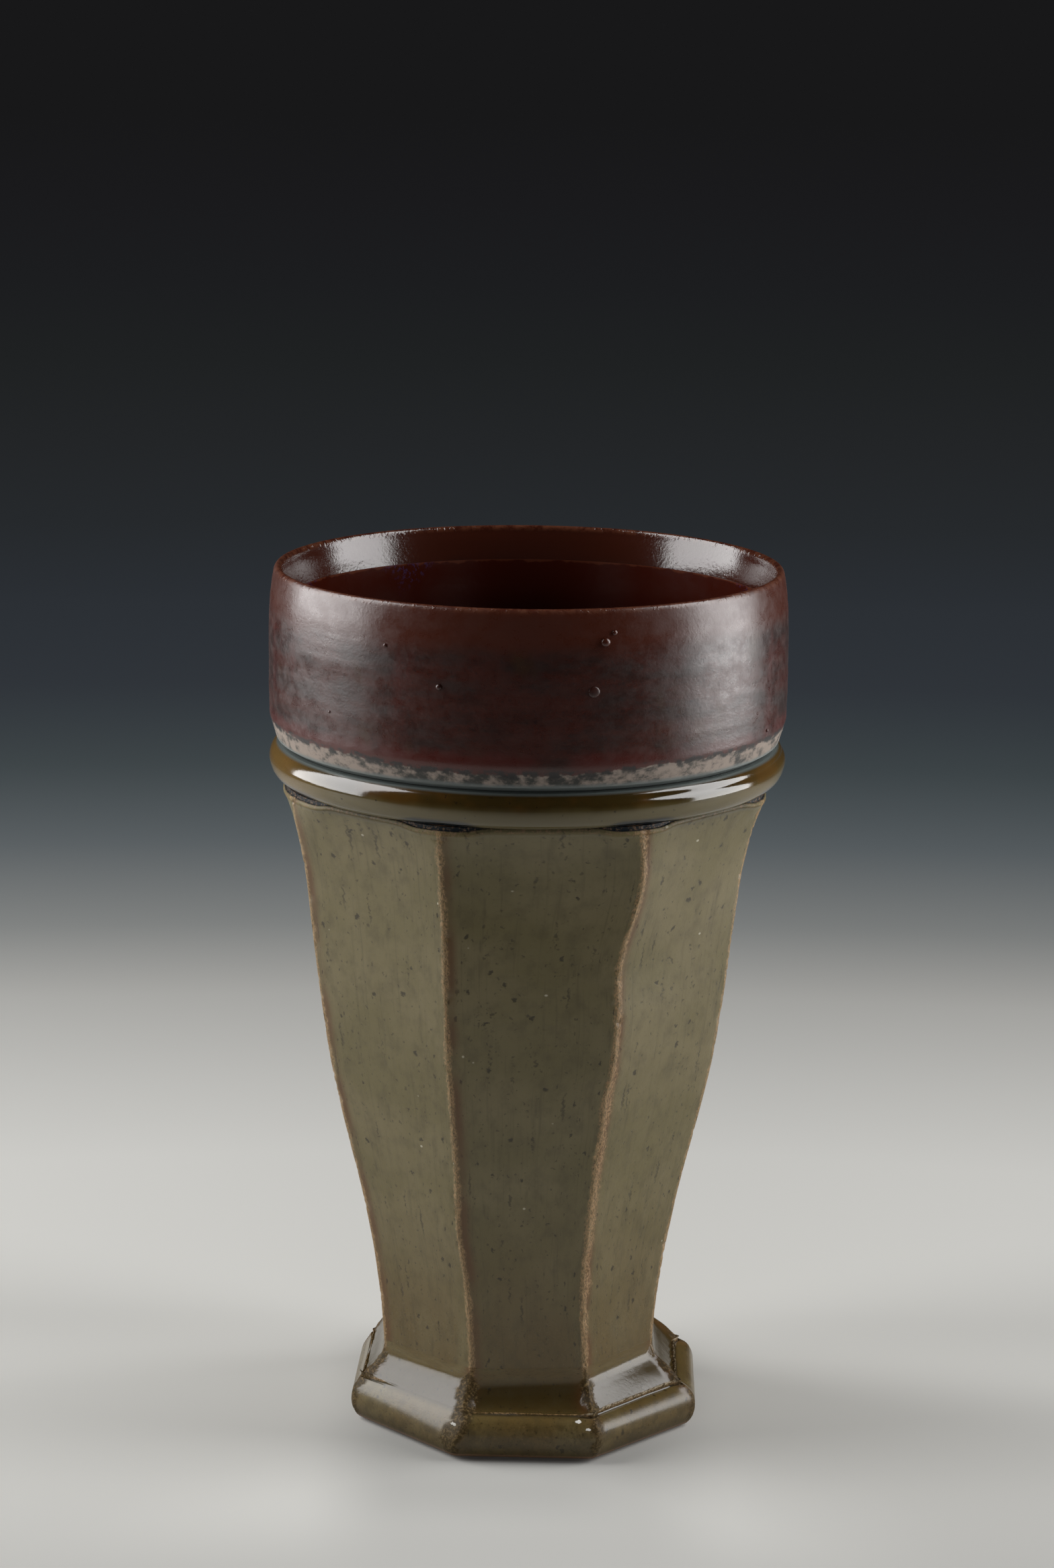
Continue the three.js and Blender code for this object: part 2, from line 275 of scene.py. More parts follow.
def layPaper():
    reach = studio["floorReach"] / 1000
    floorMesh = bpy.data.meshes.new("floor")
    corners = [(-reach, -reach, 0), (reach, -reach, 0), (reach, reach, 0), (-reach, reach, 0)]
    floorMesh.from_pydata(corners, [], [(0, 1, 2, 3)])
    paper, tree = startFinish("paper")
    # the paper's colour fades away from the cup, a painted pool of light
    centre = [value / 1000 for value in studio["paperCentre"]]
    away = tree.away(tree.scaled(tree.place(), *studio["paperStretch"]), centre)
    along = away / (away + 1)
    shares = [(spot, (share, share, share, 1)) for spot, share in studio["paintedLightPool"]]
    share = tree.add("ShaderNodeValToRGB", {"stops": shares}, {0: along})
    _, across, deep, _ = tree.spot()
    # painted shade on the paper towards the viewer
    nearest, start, least = studio["dimFront"]
    front = least + (1 - least) * tree.step(deep, nearest, start)
    # painted light beside the foot lifts the lamps' shadows; a painted shadow darkens the paper
    # before it
    change = 1
    for more, middle, aside, before, behind in studio["lightAndShadowNearFoot"]:
        patch = tree.step(abs(across - middle), *aside) * tree.step(deep, *before)
        change = change + more * (patch * tree.step(deep, *behind))
    front = front * change
    sockets = {
        "Base Color": tree.blend(share * front, (0, 0, 0, 1), studio["paper"]),
        "Roughness": 1.0,
        "Specular IOR Level": 0.0,
        "Emission Color": tree.add("ShaderNodeValToRGB", {"stops": studio["dimGlow"]}, {0: along}),
        "Emission Strength": 1.0,
    }
    endFinish(tree, tree.add("ShaderNodeBsdfPrincipled", {}, sockets))
    floorMesh.materials.append(paper)
    standIn("floor", floorMesh)


def lightRoom():
    world = bpy.data.worlds.new("room")
    bpy.context.scene.world = world
    world.use_nodes = True
    world.node_tree.nodes.clear()
    air = NodeTree(world.node_tree)
    glow = air.add("ShaderNodeBackground", {}, {"Color": studio["room"], "Strength": 1.0})
    air.add("ShaderNodeOutputWorld", {}, {"Surface": glow})
    bpy.context.scene.view_settings.view_transform = "Standard"


setCamera()
hangLamps()
layPaper()
lightRoom()
print("studio set")


# Shapes shared by the pieces. A height is above the table; a turn is counted from the front, to
# the viewer's right; a reach is from the axis to the middle of a flat side.
cut = {
    "facetTurns": (3.5, 47, 90, 134.5, 179.5, 225, 270, 319.5),
    "flangeTurn": -1.5,
    # how far to the right of the axis the facets and the flange stand
    "facetShift": -0.4,
    "flangeShift": 0.8,
    "perSide": 36,  # columns of points
    "crowding": 0.7,  # how far the columns crowd towards the ridges
    "wallReach": (
        (14, 22.4), (20, 22.8), (28, 23.75), (40, 26.0), (52, 28.7), (64, 31.2), (76, 33.05),
        (88, 34.4), (98, 35.6), (104, 37.0), (109.3, 39.1),
    ),
    # where the two front ridges run, to the viewer's right of the axis, against height
    "frontRidges": (
        (
            (14, -8.05), (18, -8.2), (24, -8.6), (29, -9.0), (34, -9.7), (38, -10.3), (44, -10.5),
            (51, -10.8), (60, -11.4), (70, -12.1), (80, -12.5), (90, -12.75), (106, -13.7),
            (109.3, -14.0),
        ),
        (
            (14, 10.7), (18, 10.45), (23, 10.1), (28, 10.2), (33, 10.3), (38, 10.8), (43, 11.1),
            (48, 11.5), (53, 12.0), (58, 12.7), (63, 13.1), (67, 14.0), (72, 14.5), (77, 14.8),
            (81, 14.7), (86, 14.9), (88, 15.3), (90, 15.8), (92.5, 16.6), (95, 17.3), (99, 18.2),
            (104, 18.4), (109.3, 18.5),
        ),
    ),
    "ridgeDrift": 0.45,  # how far the other ridges wander, and over what height
    "driftSize": 21,
    # how far the flange's corners stand off a regular plan, to the right and to the back
    "flangeSlide": ((2.3, 0), (1, 0), (0, 0), (-0.3, -1.9), (0, 0), (0, 0), (0.4, -2.3), (0, 0)),
    "slideLow": (0.3, 1.0, 7.3),  # the share of that at the table, and where it grows to the whole
    "ridgeRound": 0.45,
    "bluntness": 9.1,  # how soon a rounded ridge goes over into the flats
    "thrownRadius": 41.2,
    "thrownPower": 60,  # how crisply the flats end at that radius
    "waistHeight": 14.0,
    "wallHeight": 109.3,
    "coatDepth": 0.5,
    "flowRadius": 30.0,
    "sharpAngle": 38,  # edges sharper than this don't shade smoothly
}


def smoothThrough(points, at):
    xs, ys = np.array(points, float).T
    slopes = np.gradient(ys, xs)
    at = np.clip(at, xs[0], xs[-1])
    i = np.clip(np.searchsorted(xs, at) - 1, 0, len(xs) - 2)
    span = xs[i + 1] - xs[i]
    t = (at - xs[i]) / span
    rise = t * t * (3 - 2 * t)
    bend = t * (1 - t) * span
    return ys[i] + (ys[i + 1] - ys[i]) * rise + bend * ((1 - t) * slopes[i] - t * slopes[i + 1])


def lengthShares(outline):
    lengths = np.concatenate([[0], np.cumsum(np.linalg.norm(np.diff(outline, axis=0), axis=1))])
    return lengths / lengths[-1]


def ease(value, low, high):
    t = np.clip((value - low) / (high - low), 0, 1)
    return t * t * (3 - 2 * t)


def bump(value, width):
    # 1 where a value is 0, and down to nothing a few widths away.
    return np.exp(-((value / width) ** 2))


def unevenness(points, size, seed):
    # Smooth noise, -1 to 1, at points in millimetres, its bumps about a size across.
    shift = Vector((17.3, 5.9, 31.7)) * seed
    values = [noise.noise(Vector(point) / size + shift) for point in points.reshape(-1, 3)]
    return np.array(values).reshape(points.shape[:-1])


def unitCorners(turns):
    # Where the sides of a plan meet, if each is 1 from the axis.
    angles = np.radians(turns)
    normals = np.stack([np.sin(angles), -np.cos(angles)], 1)
    before = np.roll(normals, 1, 0)
    return (normals + before) / (1 + (normals * before).sum(1))[:, None]


facetCorners = unitCorners(cut["facetTurns"])
flangeCorners = unitCorners([cut["flangeTurn"] + 45 * side for side in range(8)])
cornerTurns = np.degrees(np.arctan2(facetCorners[:, 0], -facetCorners[:, 1]))
columns = np.arange(8 * cut["perSide"])
sideOf, placeInSide = np.divmod(columns, cut["perSide"])
firstHalf = placeInSide < cut["perSide"] / 2


def cornersAt(heights, reaches, flanges):
    # The eight ridges' places on the plan, for each height.
    share = flanges[:, None, None]
    shape = facetCorners * (1 - share) + flangeCorners * share
    corners = shape * reaches[:, None, None]
    corners[..., 0] += (cut["facetShift"] * (1 - flanges) + cut["flangeShift"] * flanges)[:, None]
    front = math.radians(cut["facetTurns"][0])
    along = np.array([math.cos(front), math.sin(front)])
    hold = 1 - flanges
    least, slideFrom, slideTo = cut["slideLow"]
    onFlange = flanges * (least + (1 - least) * ease(heights, slideFrom, slideTo))
    for side in range(8):
        corners[:, side] += onFlange[:, None] * np.array(cut["flangeSlide"][side])
        if side < len(cut["frontRidges"]):
            seen = smoothThrough(cut["frontRidges"][side], heights)
            slide = (seen - corners[:, side, 0]) / along[0]
            corners[:, side] += (slide * hold)[:, None] * along
            continue
        wander = [noise.noise(Vector((h / cut["driftSize"], side * 7.1, 3.3))) for h in heights]
        turn = math.atan2(facetCorners[side][0], -facetCorners[side][1])
        across = np.array([math.cos(turn), math.sin(turn)])
        corners[:, side] += (np.array(wander) * 2 * cut["ridgeDrift"] * hold)[:, None] * across
    return corners


def planOf(heights, reaches, flanges, rounds):
    # Reach and turn, in radians, of every column of an eight-sided ring, for each height, and how
    # far it is from the nearest ridge.
    corners = cornersAt(heights, reaches, flanges)
    nextCorners = np.roll(corners, -1, 1)
    edge = nextCorners - corners
    normals = np.stack([edge[..., 1], -edge[..., 0]], -1)
    normals /= np.linalg.norm(normals, axis=-1, keepdims=True)
    distances = (normals * corners).sum(-1)
    steps = np.arange(cut["perSide"]) / cut["perSide"]
    crowded = 0.5 - 0.5 * np.cos(np.pi * steps)
    shares = steps + (crowded - steps) * cut["crowding"]
    turns = np.arctan2(corners[..., 0], -corners[..., 1])
    sweep = np.mod(np.roll(turns, -1, 1) - turns, 2 * np.pi)
    angles = (turns[:, :, None] + sweep[:, :, None] * shares).reshape(len(heights), -1)
    directions = np.stack([np.sin(angles), -np.cos(angles)], -1)
    nearness = np.einsum("rcx,rsx->rcs", directions, normals) / distances[:, None, :]
    nearness = np.maximum(nearness, 0)
    most = nearness.max(-1, keepdims=True)
    power = (cut["bluntness"] * reaches / rounds)[:, None]
    blunt = ((nearness / most) ** power[..., None]).sum(-1) ** (-1 / power)
    reach = blunt / most[..., 0]
    fromCorner = np.minimum(shares, 1 - shares)
    gap = np.tile(fromCorner, 8) * np.repeat(sweep, cut["perSide"], axis=1) * reach
    return reach, angles, gap


def spread(reach, angles, heights):
    # Points, in millimetres, from polar ones.
    return np.stack([reach * np.sin(angles), -reach * np.cos(angles), heights], -1)


def flowOf(angles, heights):
    # Where the glaze's streaks run: fixed columns of a facet, whatever its width.
    turns = np.append(np.unwrap(cornerTurns, period=360), cornerTurns[0] + 360)
    steady = np.radians(np.interp(columns, np.arange(9) * cut["perSide"], turns))
    steady = np.broadcast_to(steady, angles.shape)
    return spread(np.full(angles.shape, cut["flowRadius"]), steady, heights)


def storeValues(mesh, name, values):
    # A number, or a place, for every point of a mesh, which the glazes read.
    isPlace = values.ndim == 3
    layer = mesh.attributes.new(name, "FLOAT_VECTOR" if isPlace else "FLOAT", "POINT")
    layer.data.foreach_set("vector" if isPlace else "value", values.ravel().astype(np.float32))


def finishMesh(name, mesh):
    shape = bmesh.new()
    shape.from_mesh(mesh)
    bmesh.ops.remove_doubles(shape, verts=shape.verts, dist=1e-6)
    bmesh.ops.recalc_face_normals(shape, faces=shape.faces)
    shape.to_mesh(mesh)
    shape.free()
    mesh.polygons.foreach_set("use_smooth", [True] * len(mesh.polygons))
    mesh.set_sharp_from_angle(angle=math.radians(cut["sharpAngle"]))
    return standIn(name, mesh)


def buildShell(name, points, closed, **values):
    # A piece from rows of points round the axis. A closed section joins its last row to its first.
    rows, around = points.shape[:2]
    index = np.arange(rows * around).reshape(rows, around)
    upper = np.roll(index, -1, 0) if closed else index[1:]
    lower = index if closed else index[:-1]
    quads = np.stack([lower, np.roll(lower, -1, 1), np.roll(upper, -1, 1), upper], -1)
    mesh = bpy.data.meshes.new(name)
    mesh.from_pydata((points.reshape(-1, 3) / 1000).tolist(), [], quads.reshape(-1, 4).tolist())
    for valueName, value in values.items():
        storeValues(mesh, valueName, value)
    return finishMesh(name, mesh)


# The glaze on the eight facets.
facetCoat = {
    "rowStep": 0.5,
    "firstRows": (0, 0.06, 0.16, 0.32, 0.6),
    "topBand": 2.0,  # how much at the top has rows closer together, and their step
    "topStep": 0.2,
    "chatter": 0.10,  # depth of the knife's slow waves, and of the skin's own
    "chatterSize": 11.0,
    "skin": 0.03,
    "skinSize": 1.4,
    "nick": 0.3,  # depth of the nicks along a ridge
    "nickSize": 0.9,
    "nickReach": 0.8,
    "fillHeight": 1.5,  # glaze filled up under the bead
    "fillReach": 0.7,
    "shoulderDrop": 0.6,  # how far the corners' top edges stand below the crevice
    "edgeRows": ((0.55, 0.0), (0.35, 0.04), (0.16, 0.13), (0.05, 0.28), (0.0, 0.5)),  # drop, inset
    "creviceRows": ((0.55, 40.62, -0.03), (0.8, 39.2, 0.03)),  # inset, furthest reach, rise
    "crevice": (40.0, 40.75),  # a corner that reaches past these stands out of the crevice
    "backEvery": 14,
    "wearWidth": 0.62,  # how far from a ridge the glaze is thin
    "wearRight": (0.35, 0.8),  # the more of it beside the right ridge, and low down there
    "wearLow": ((18, 30), (62, 74)),  # where that low stretch sets in and ends
    "rust": (0.9, 0.8),  # how far from a ridge the iron's stain lies, and its width
}


def coatWaves(points, gap, depth=1.0):
    f = facetCoat
    waves = f["chatter"] * unevenness(points * (1, 1, 0.6), f["chatterSize"], 1)
    waves += f["skin"] * unevenness(points * (1, 1, 0.35), f["skinSize"], 2)
    nicks = np.maximum(unevenness(points, f["nickSize"], 3) - 0.15, 0)
    return depth * (waves - f["nick"] * bump(gap, f["nickReach"]) * nicks * 2)


def facetRows(heights):
    reaches = smoothThrough(cut["wallReach"], heights)
    rounds = np.full(len(heights), cut["ridgeRound"])
    reach, angles, gap = planOf(heights, reaches, np.zeros(len(heights)), rounds)
    top = ease(heights, cut["wallHeight"] - facetCoat["fillHeight"], cut["wallHeight"])
    reach = reach + (top * facetCoat["fillReach"])[:, None]
    power = cut["thrownPower"]
    return reach / (1 + (reach / cut["thrownRadius"]) ** power) ** (1 / power), angles, gap


def standsOut(reach):
    return ease(reach, *facetCoat["crevice"])


def ridgeWear(points, gap):
    # How thin the glaze ran over the ridges, 0 to 1: widest beside the right front one.
    tall = points[..., 2]
    width = np.full(gap.shape, facetCoat["wearWidth"])
    besideRight = (sideOf == 1) & firstHalf
    start, end = facetCoat["wearLow"]
    low = ease(tall, *start) * (1 - ease(tall, *end))
    more, moreLow = facetCoat["wearRight"]
    width[:, besideRight] += more + moreLow * low[:, besideRight]
    width *= 1 + 0.5 * unevenness(points, 4.0, 5) + 0.35 * unevenness(points, 0.9, 15)
    return bump(gap, width)


def rustBeside(points, gap):
    # Where iron from the clay stains the glaze, to the right of each ridge.
    away, width = facetCoat["rust"]
    stain = bump(gap - away, width) * firstHalf
    return stain * np.clip(0.75 + unevenness(points, 6.0, 7), 0.2, 1)


def buildFacetCoat():
    f = facetCoat
    low, high = cut["waistHeight"], cut["wallHeight"]
    band = high - f["topBand"]
    heights = np.concatenate([
        low + np.array(f["firstRows"]),
        np.arange(low + 1.0, band, f["rowStep"]),
        np.arange(band, high - f["edgeRows"][0][0] - 0.05, f["topStep"]),
    ])
    count = len(heights)
    reach, angles, gap = facetRows(heights)
    tall = np.broadcast_to(heights[:, None], reach.shape)
    reach = reach + coatWaves(spread(reach, angles, tall), gap)
    topReach = reach[-1]
    out = standsOut(topReach)
    drop = f["shoulderDrop"] * out
    tall = tall - drop * ease(tall, high - 4, high - 0.6)
    rows = [(reach, tall)]
    rows += [(topReach - inset, high - down - drop) for down, inset in f["edgeRows"]]
    for inset, most, rise in f["creviceRows"]:
        rows.append((np.minimum(topReach - inset, most), high + rise * out))
    edgeEnd = count + len(rows) - 1
    back = [*range(count - 1, 0, -f["backEvery"]), 0]
    rows.append((reach[back] - cut["coatDepth"], tall[back]))
    reach, tall = (np.vstack([row[part] for row in rows]) for part in (0, 1))
    source = [*range(count), *[count - 1] * (edgeEnd - count), *back]
    angles, gap = angles[source], gap[source]
    points = spread(reach, angles, tall)
    ridge = ridgeWear(points, gap)
    top = slice(count - 1, count + 3)
    frayed = np.clip(0.2 + 1.1 * unevenness(points[top], 1.6, 6), 0, 0.9)
    ridge[top] = np.maximum(ridge[top], out * frayed)
    # glaze pooled under the bead, and painted shade along the crevice rows
    pool = 0.35 * ease(tall, high - 2.2, high) * (1 - out)
    pool[count + 3:edgeEnd] = 1
    crust = np.zeros_like(ridge)
    crust[count - 2:edgeEnd] = 0.9
    piece = buildShell(
        "facet_coat", points, True,
        crust=crust,
        flow=flowOf(angles, tall),
        ridge=ridge,
        rust=rustBeside(points, gap),
        pool=pool,
    )
    return piece, np.degrees(angles[0]), topReach


# The glaze on the foot: the rolled flange, the cut ledge with its burr, and the cove.
footCoat = {
    "bareHeight": 0.6,
    "rollReach": 26.4,
    "rollOut": 2.5,
    "rollHalf": 3.65,
    "rollTop": 76,  # how far round the roll goes, in degrees from level
    "rollRows": 22,
    "skirt": ((-0.5, -0.05), (-0.22, -0.12)),  # reaches and heights from the roll's first row
    "coveReach": 26.2,
    "coveFoot": 7.6,
    "waistReach": 22.4,
    "coveRows": 30,
    "coveFullness": 2.7,
    "burrBySide": (0.25, 1.0, 0.8, 0.5, 0.7, 0.4, 0.5, 0.04),  # front, then to the viewer's right
    "frontLeftBurr": (0.9, 8.0),  # what the front left corner adds, and over how many columns
    "burrLift": 0.42,
    "burrOut": 0.3,
    # the edge between roll and cove, rounded over and as the knife left it
    "ledgeRound": (
        (26.86, 7.27), (26.72, 7.35), (26.58, 7.42), (26.46, 7.49), (26.36, 7.54), (26.28, 7.58),
    ),
    "ledgeCut": (
        (26.75, 7.24), (26.5, 7.2), (26.38, 7.26), (26.42, 7.42), (26.4, 7.6), (26.3, 7.66),
    ),
    "burrShare": (0, 0, 0.1, 0.6, 1.0, 0.8),
    "undercut": 0.22,  # how deep the burr is cut under, and each row's share of it
    "undercutShare": (0.5, 1.0, 0.8),
    "pulledBySide": (0.0, 0.85, 1.1, 0.2, 0.0, 0.2, 0.3, 0.0),  # how far the ledge lies further in
    "pulledHeights": ((5.4, 7.4), (8.0, 13.0)),  # where that sets in and ends
    # glaze filled over the ledge, and up to the burr: heights, and shares of the way out
    "overLedge": (
        (6.2, 1.0), (7, 0.858), (8, 0.676), (9, 0.477), (10, 0.286), (11, 0.139), (12, 0.045),
        (13, 0.009), (14, 0.0),
    ),
    "underBurr": (
        (7.58, 1.0), (8.6, 0.74), (9.6, 0.48), (10.4, 0.27), (11.1, 0.11), (11.8, 0.03),
        (12.6, 0.005), (14, 0.0),
    ),
    "fills": {
        7: "overLedge", 6: "overLedge", 5: "overLedge",
        3: "underBurr", 2: "underBurr", 1: "underBurr",
    },
    # how far the crust runs before and after each corner, from the front left one to the right
    "crust": (
        (2.7, 1.1), (0.4, 1.3), (0.8, 0.8), (0.4, 0.6),
        (0.5, 0.3), (0.3, 0.6), (0.6, 0.5), (1.6, 1.2),
    ),
    "rollRound": 1.7,
    "ledgeEdgeRound": 1.0,
    "coveRound": 1.2,
    # the coat's back, from the waist down: how far behind the front, and how far below it
    "backDepths": (0.5, 0.5, 0.5, 0.5, 0.6, 0.6, 0.55),
    "backDrops": (0, 0.2, 0.4, 0.5, 0.2, 0, 0),
}


def flangeShare(heights):
    # How far the plan has gone over from the facets' cut to the flange's.
    coveTall = cut["waistHeight"] - footCoat["coveFoot"]
    down = np.clip((cut["waistHeight"] - heights) / coveTall, 0, 1)
    fullness = footCoat["coveFullness"]
    return 1 - (1 - down**fullness) ** (1 / fullness)


def footProfile():
    # Reach and height of every row, upwards.
    f = footCoat
    lowest = math.degrees(math.asin((f["bareHeight"] - f["rollHalf"]) / f["rollHalf"]))
    rollTurns = np.radians(np.linspace(lowest, f["rollTop"], f["rollRows"]))
    rollReach = f["rollReach"] + f["rollOut"] * np.cos(rollTurns)
    rollHeight = f["rollHalf"] * (1 + np.sin(rollTurns))
    coveTurns = np.radians(np.linspace(90, 0, f["coveRows"]))
    power = 2 / f["coveFullness"]
    coveReach = f["coveReach"] - (f["coveReach"] - f["waistReach"]) * np.cos(coveTurns) ** power
    coveTall = cut["waistHeight"] - f["coveFoot"]
    coveHeight = cut["waistHeight"] - coveTall * np.sin(coveTurns) ** power
    return np.vstack([
        np.array(f["skirt"]) + (rollReach[0], f["bareHeight"]),
        np.stack([rollReach, rollHeight], 1),
        f["ledgeRound"],
        np.stack([coveReach, coveHeight], 1),
    ])


def rowShares(count, first, shares):
    # A share for each row: 0, but from the first on the shares given.
    rows = np.zeros((count, 1))
    rows[first:first + len(shares), 0] = shares
    return rows


def burrAlong(gap, points):
    # How high the burr stands along one row, and how ragged it is.
    bySide = np.array(footCoat["burrBySide"])
    burr = bySide[sideOf]
    neighbour = bySide[(sideOf + np.where(firstHalf, -1, 1)) % 8]
    burr = burr + (neighbour - burr) * 0.5 * bump(gap, 1.6)
    burr = burr * np.clip(1 + 0.9 * unevenness(points, 7.0, 12), 0, 1.3)
    more, over = footCoat["frontLeftBurr"]
    burr += more * (sideOf == 7) * bump(placeInSide, over)
    return burr, 1 + 0.8 * unevenness(points, 1.3, 8) + 0.4 * unevenness(points, 0.5, 9)


def layRefills(reach, tall, heights):
    # Some sides' rows above the roll laid anew, along the shape that the glaze took there.
    per = cut["perSide"]
    changes = np.zeros((2, *reach.shape))
    for side, shapeName in footCoat["fills"].items():
        shape = footCoat[shapeName]
        first = int(np.argmax(heights > shape[0][0] - 0.01))
        middle = reach[first:, side * per + per // 2]
        lift = np.linspace(heights[first], heights[-1], 200)
        out = middle[-1] + (middle[0] - middle[-1]) * smoothThrough(shape, lift)
        own = lengthShares(np.stack([middle, heights[first:]], 1))
        new = lengthShares(np.stack([out, lift], 1))
        ratio = np.interp(own, new, out) / middle - 1
        rise = np.interp(own, new, lift) - heights[first:]
        place = (columns - (side - 3.5) * per) % (8 * per) - 3.5 * per
        inside = (place >= 0) & (place < per)
        near = 0.5 * bump(np.minimum(abs(place), abs(place - per)), 2.0)
        weight = np.where(inside, 1 - near, near)
        changes[0, first:] += ratio[:, None] * weight
        changes[1, first:] += rise[:, None] * weight
    reach *= 1 + changes[0]
    tall += changes[1]


def crustBeside(points, gap):
    # Where the glaze crawled and left crust beside the corners.
    tall = points[..., 2]
    corner = (sideOf + ~firstHalf) % 8
    crustReach = np.array(footCoat["crust"])[corner, firstHalf.astype(int)]
    crustReach = crustReach * (1 - ease(tall, 10.5, 13.8)) * (0.6 + 0.4 * ease(tall, 0.5, 4.5))
    toCorner = gap + 0.9 * unevenness(points, 1.6, 21) + 0.5 * unevenness(points, 0.5, 22)
    return 1 - ease(toCorner, crustReach - 0.25, crustReach + 0.25)


def buildFootCoat():
    f = footCoat
    profile = footProfile()
    heights = profile[:, 1]
    count = len(heights)
    onRoll = len(f["skirt"]) + f["rollRows"]
    ledge = slice(onRoll, onRoll + len(f["ledgeRound"]))
    flanges = flangeShare(heights)
    rounds = cut["ridgeRound"] + (f["coveRound"] - cut["ridgeRound"]) * flanges
    rounds[:onRoll] = f["rollRound"]
    rounds[ledge] = f["ledgeEdgeRound"]
    reach, angles, gap = planOf(heights, profile[:, 0], flanges, rounds)
    tall = np.broadcast_to(heights[:, None], reach.shape).copy()

    burr, ragged = burrAlong(gap[onRoll], spread(reach, angles, tall)[onRoll + 3])
    crisp = np.clip(burr * 1.3, 0, 1)
    cutAway = np.array(f["ledgeCut"]) - np.array(f["ledgeRound"])
    reach[ledge] += cutAway[:, :1] * crisp
    tall[ledge] += cutAway[:, 1:] * crisp
    share = rowShares(count, onRoll, f["burrShare"])
    tall += share * (f["burrLift"] * burr * np.maximum(ragged, 0.15))
    reach += share * f["burrOut"] * burr * ragged
    alongSide = placeInSide / cut["perSide"]
    awayFromEnds = ease(np.minimum(alongSide, 1 - alongSide), 0.0, 0.15)
    start, end = f["pulledHeights"]
    pulled = np.array(f["pulledBySide"])[sideOf] * awayFromEnds
    reach -= pulled * ease(tall, *start) * (1 - ease(tall, *end))
    layRefills(reach, tall, heights)
    tall -= rowShares(count, onRoll, f["undercutShare"]) * f["undercut"] * burr
    free = 1 - rowShares(count, 0, (1, 1, 0.7))
    reach += free * coatWaves(spread(reach, angles, tall), gap * 1.5, 0.5)

    back = [-1, -12, -22, onRoll + 2, onRoll - 6, onRoll - 14, 2]
    reach = np.vstack([reach, reach[back] - np.array(f["backDepths"])[:, None]])
    tall = np.vstack([tall, tall[back] - np.array(f["backDrops"])[:, None]])
    angles, gap = np.vstack([angles, angles[back]]), np.vstack([gap, gap[back]])
    points = spread(reach, angles, tall)
    onBurr = rowShares(len(reach), onRoll + 2, (0.3, 0.7, 1.0, 0.8, 0.3))
    ridge = bump(gap, 0.6) * ease(tall, 10.5, 13.5)
    ridge = np.maximum(ridge, 2 * onBurr * np.clip(burr * 1.4, 0, 1))
    # painted shade in the undercut beneath the burr
    pool = rowShares(len(reach), onRoll, (0.6, 0.6, 0.6)) * crisp
    fromWaist = ease(tall, 12.0, 14.0)[..., None]
    return buildShell(
        "foot_coat", points, True,
        flow=points + (flowOf(angles, tall) - points) * fromWaist,
        ridge=ridge,
        rust=bump(gap, 1.3) * np.clip(0.6 + unevenness(points, 3.0, 7), 0, 1),
        pool=pool,
        crust=crustBeside(points, gap),
    )


# The bare clay of the foot: the standing ring, the turned recess and the bed of the floor.
# Each outline is of reach and height.
footClay = {
    "recessRadius": 18.5,
    "recessDepth": 2.2,
    "recessChamfer": 0.8,
    "recessRows": 90,
    "turningPitch": 1.15,
    "turningDepth": 0.09,
    "turningCrispness": 1.5,
    "nub": (0.5, 2.2),  # height and width of what the tool left in the middle
    "grit": (0.05, 2.2),  # depth and size of the recess's own unevenness
    "recessEdge": ((-0.65, 2.08), (-0.12, 0.22), (0.05, 0.05), (0.3, 0.0)),  # from its radius
    "ring": (19.5, 22.0),
    # eight-sided, from the ring over the contact's edge and up behind the glaze
    "rim": (
        (23.5, 0.0), (25.0, 0.0), (26.1, 0.0), (26.4, 0.04), (26.65, 0.16), (26.95, 0.4),
        (27.15, 0.6), (26.9, 0.75), (26.6, 0.85), (27.6, 2.0), (28.05, 3.65), (27.6, 5.3),
        (26.4, 5.9), (24.6, 6.6), (23.0, 8.0), (21.9, 10.8), (21.6, 13.99),
    ),
    "rimRound": 2.0,
    "top": (
        (18.2, 13.99), (18.2, 12.01), (16.9, 12.01), (16.2, 10.9), (13.9, 9.2), (11.6, 8.71),
        (0.0, 8.71),
    ),
}


def buildFootClay():
    c = footClay
    recess = np.linspace(0, c["recessRadius"] - c["recessChamfer"], c["recessRows"])
    fromLine = np.abs((recess / c["turningPitch"] % 1) - 0.5) * 2
    nubHeight, nubWidth = c["nub"]
    turned = c["recessDepth"] - c["turningDepth"] * fromLine ** c["turningCrispness"]
    bottom = np.vstack([
        np.stack([recess, turned - nubHeight * bump(recess, nubWidth)], 1),
        np.array(c["recessEdge"]) + (c["recessRadius"], 0),
        [(reach, 0) for reach in np.linspace(*c["ring"], 6)],
    ])
    rim, top = np.array(c["rim"]), np.array(c["top"])
    rounds = np.full(len(rim), c["rimRound"])
    cutReach, cutAngles, _ = planOf(rim[:, 1], rim[:, 0], flangeShare(rim[:, 1]), rounds)
    outline = np.vstack([bottom, rim, top])
    reach, tall = (np.repeat(outline[:, part, None], len(columns), 1) for part in (0, 1))
    reach[len(bottom):len(bottom) + len(rim)] = cutReach
    angles = np.pad(cutAngles, ((len(bottom), len(top)), (0, 0)), "edge")
    points = spread(reach, angles, tall)
    depth, size = c["grit"]
    inRecess = points[:len(recess)]
    inRecess[..., 2] += (depth * ease(recess, 0.0, 3.0))[:, None] * unevenness(inRecess, size, 11)
    return buildShell("foot_clay", points, False, flow=points)


facetPiece, columnTurns, topReach = buildFacetCoat()
footPiece = buildFootCoat()
footClayPiece = buildFootClay()
print("cut pieces built:", *(len(p.data.polygons) for p in (facetPiece, footPiece, footClayPiece)))


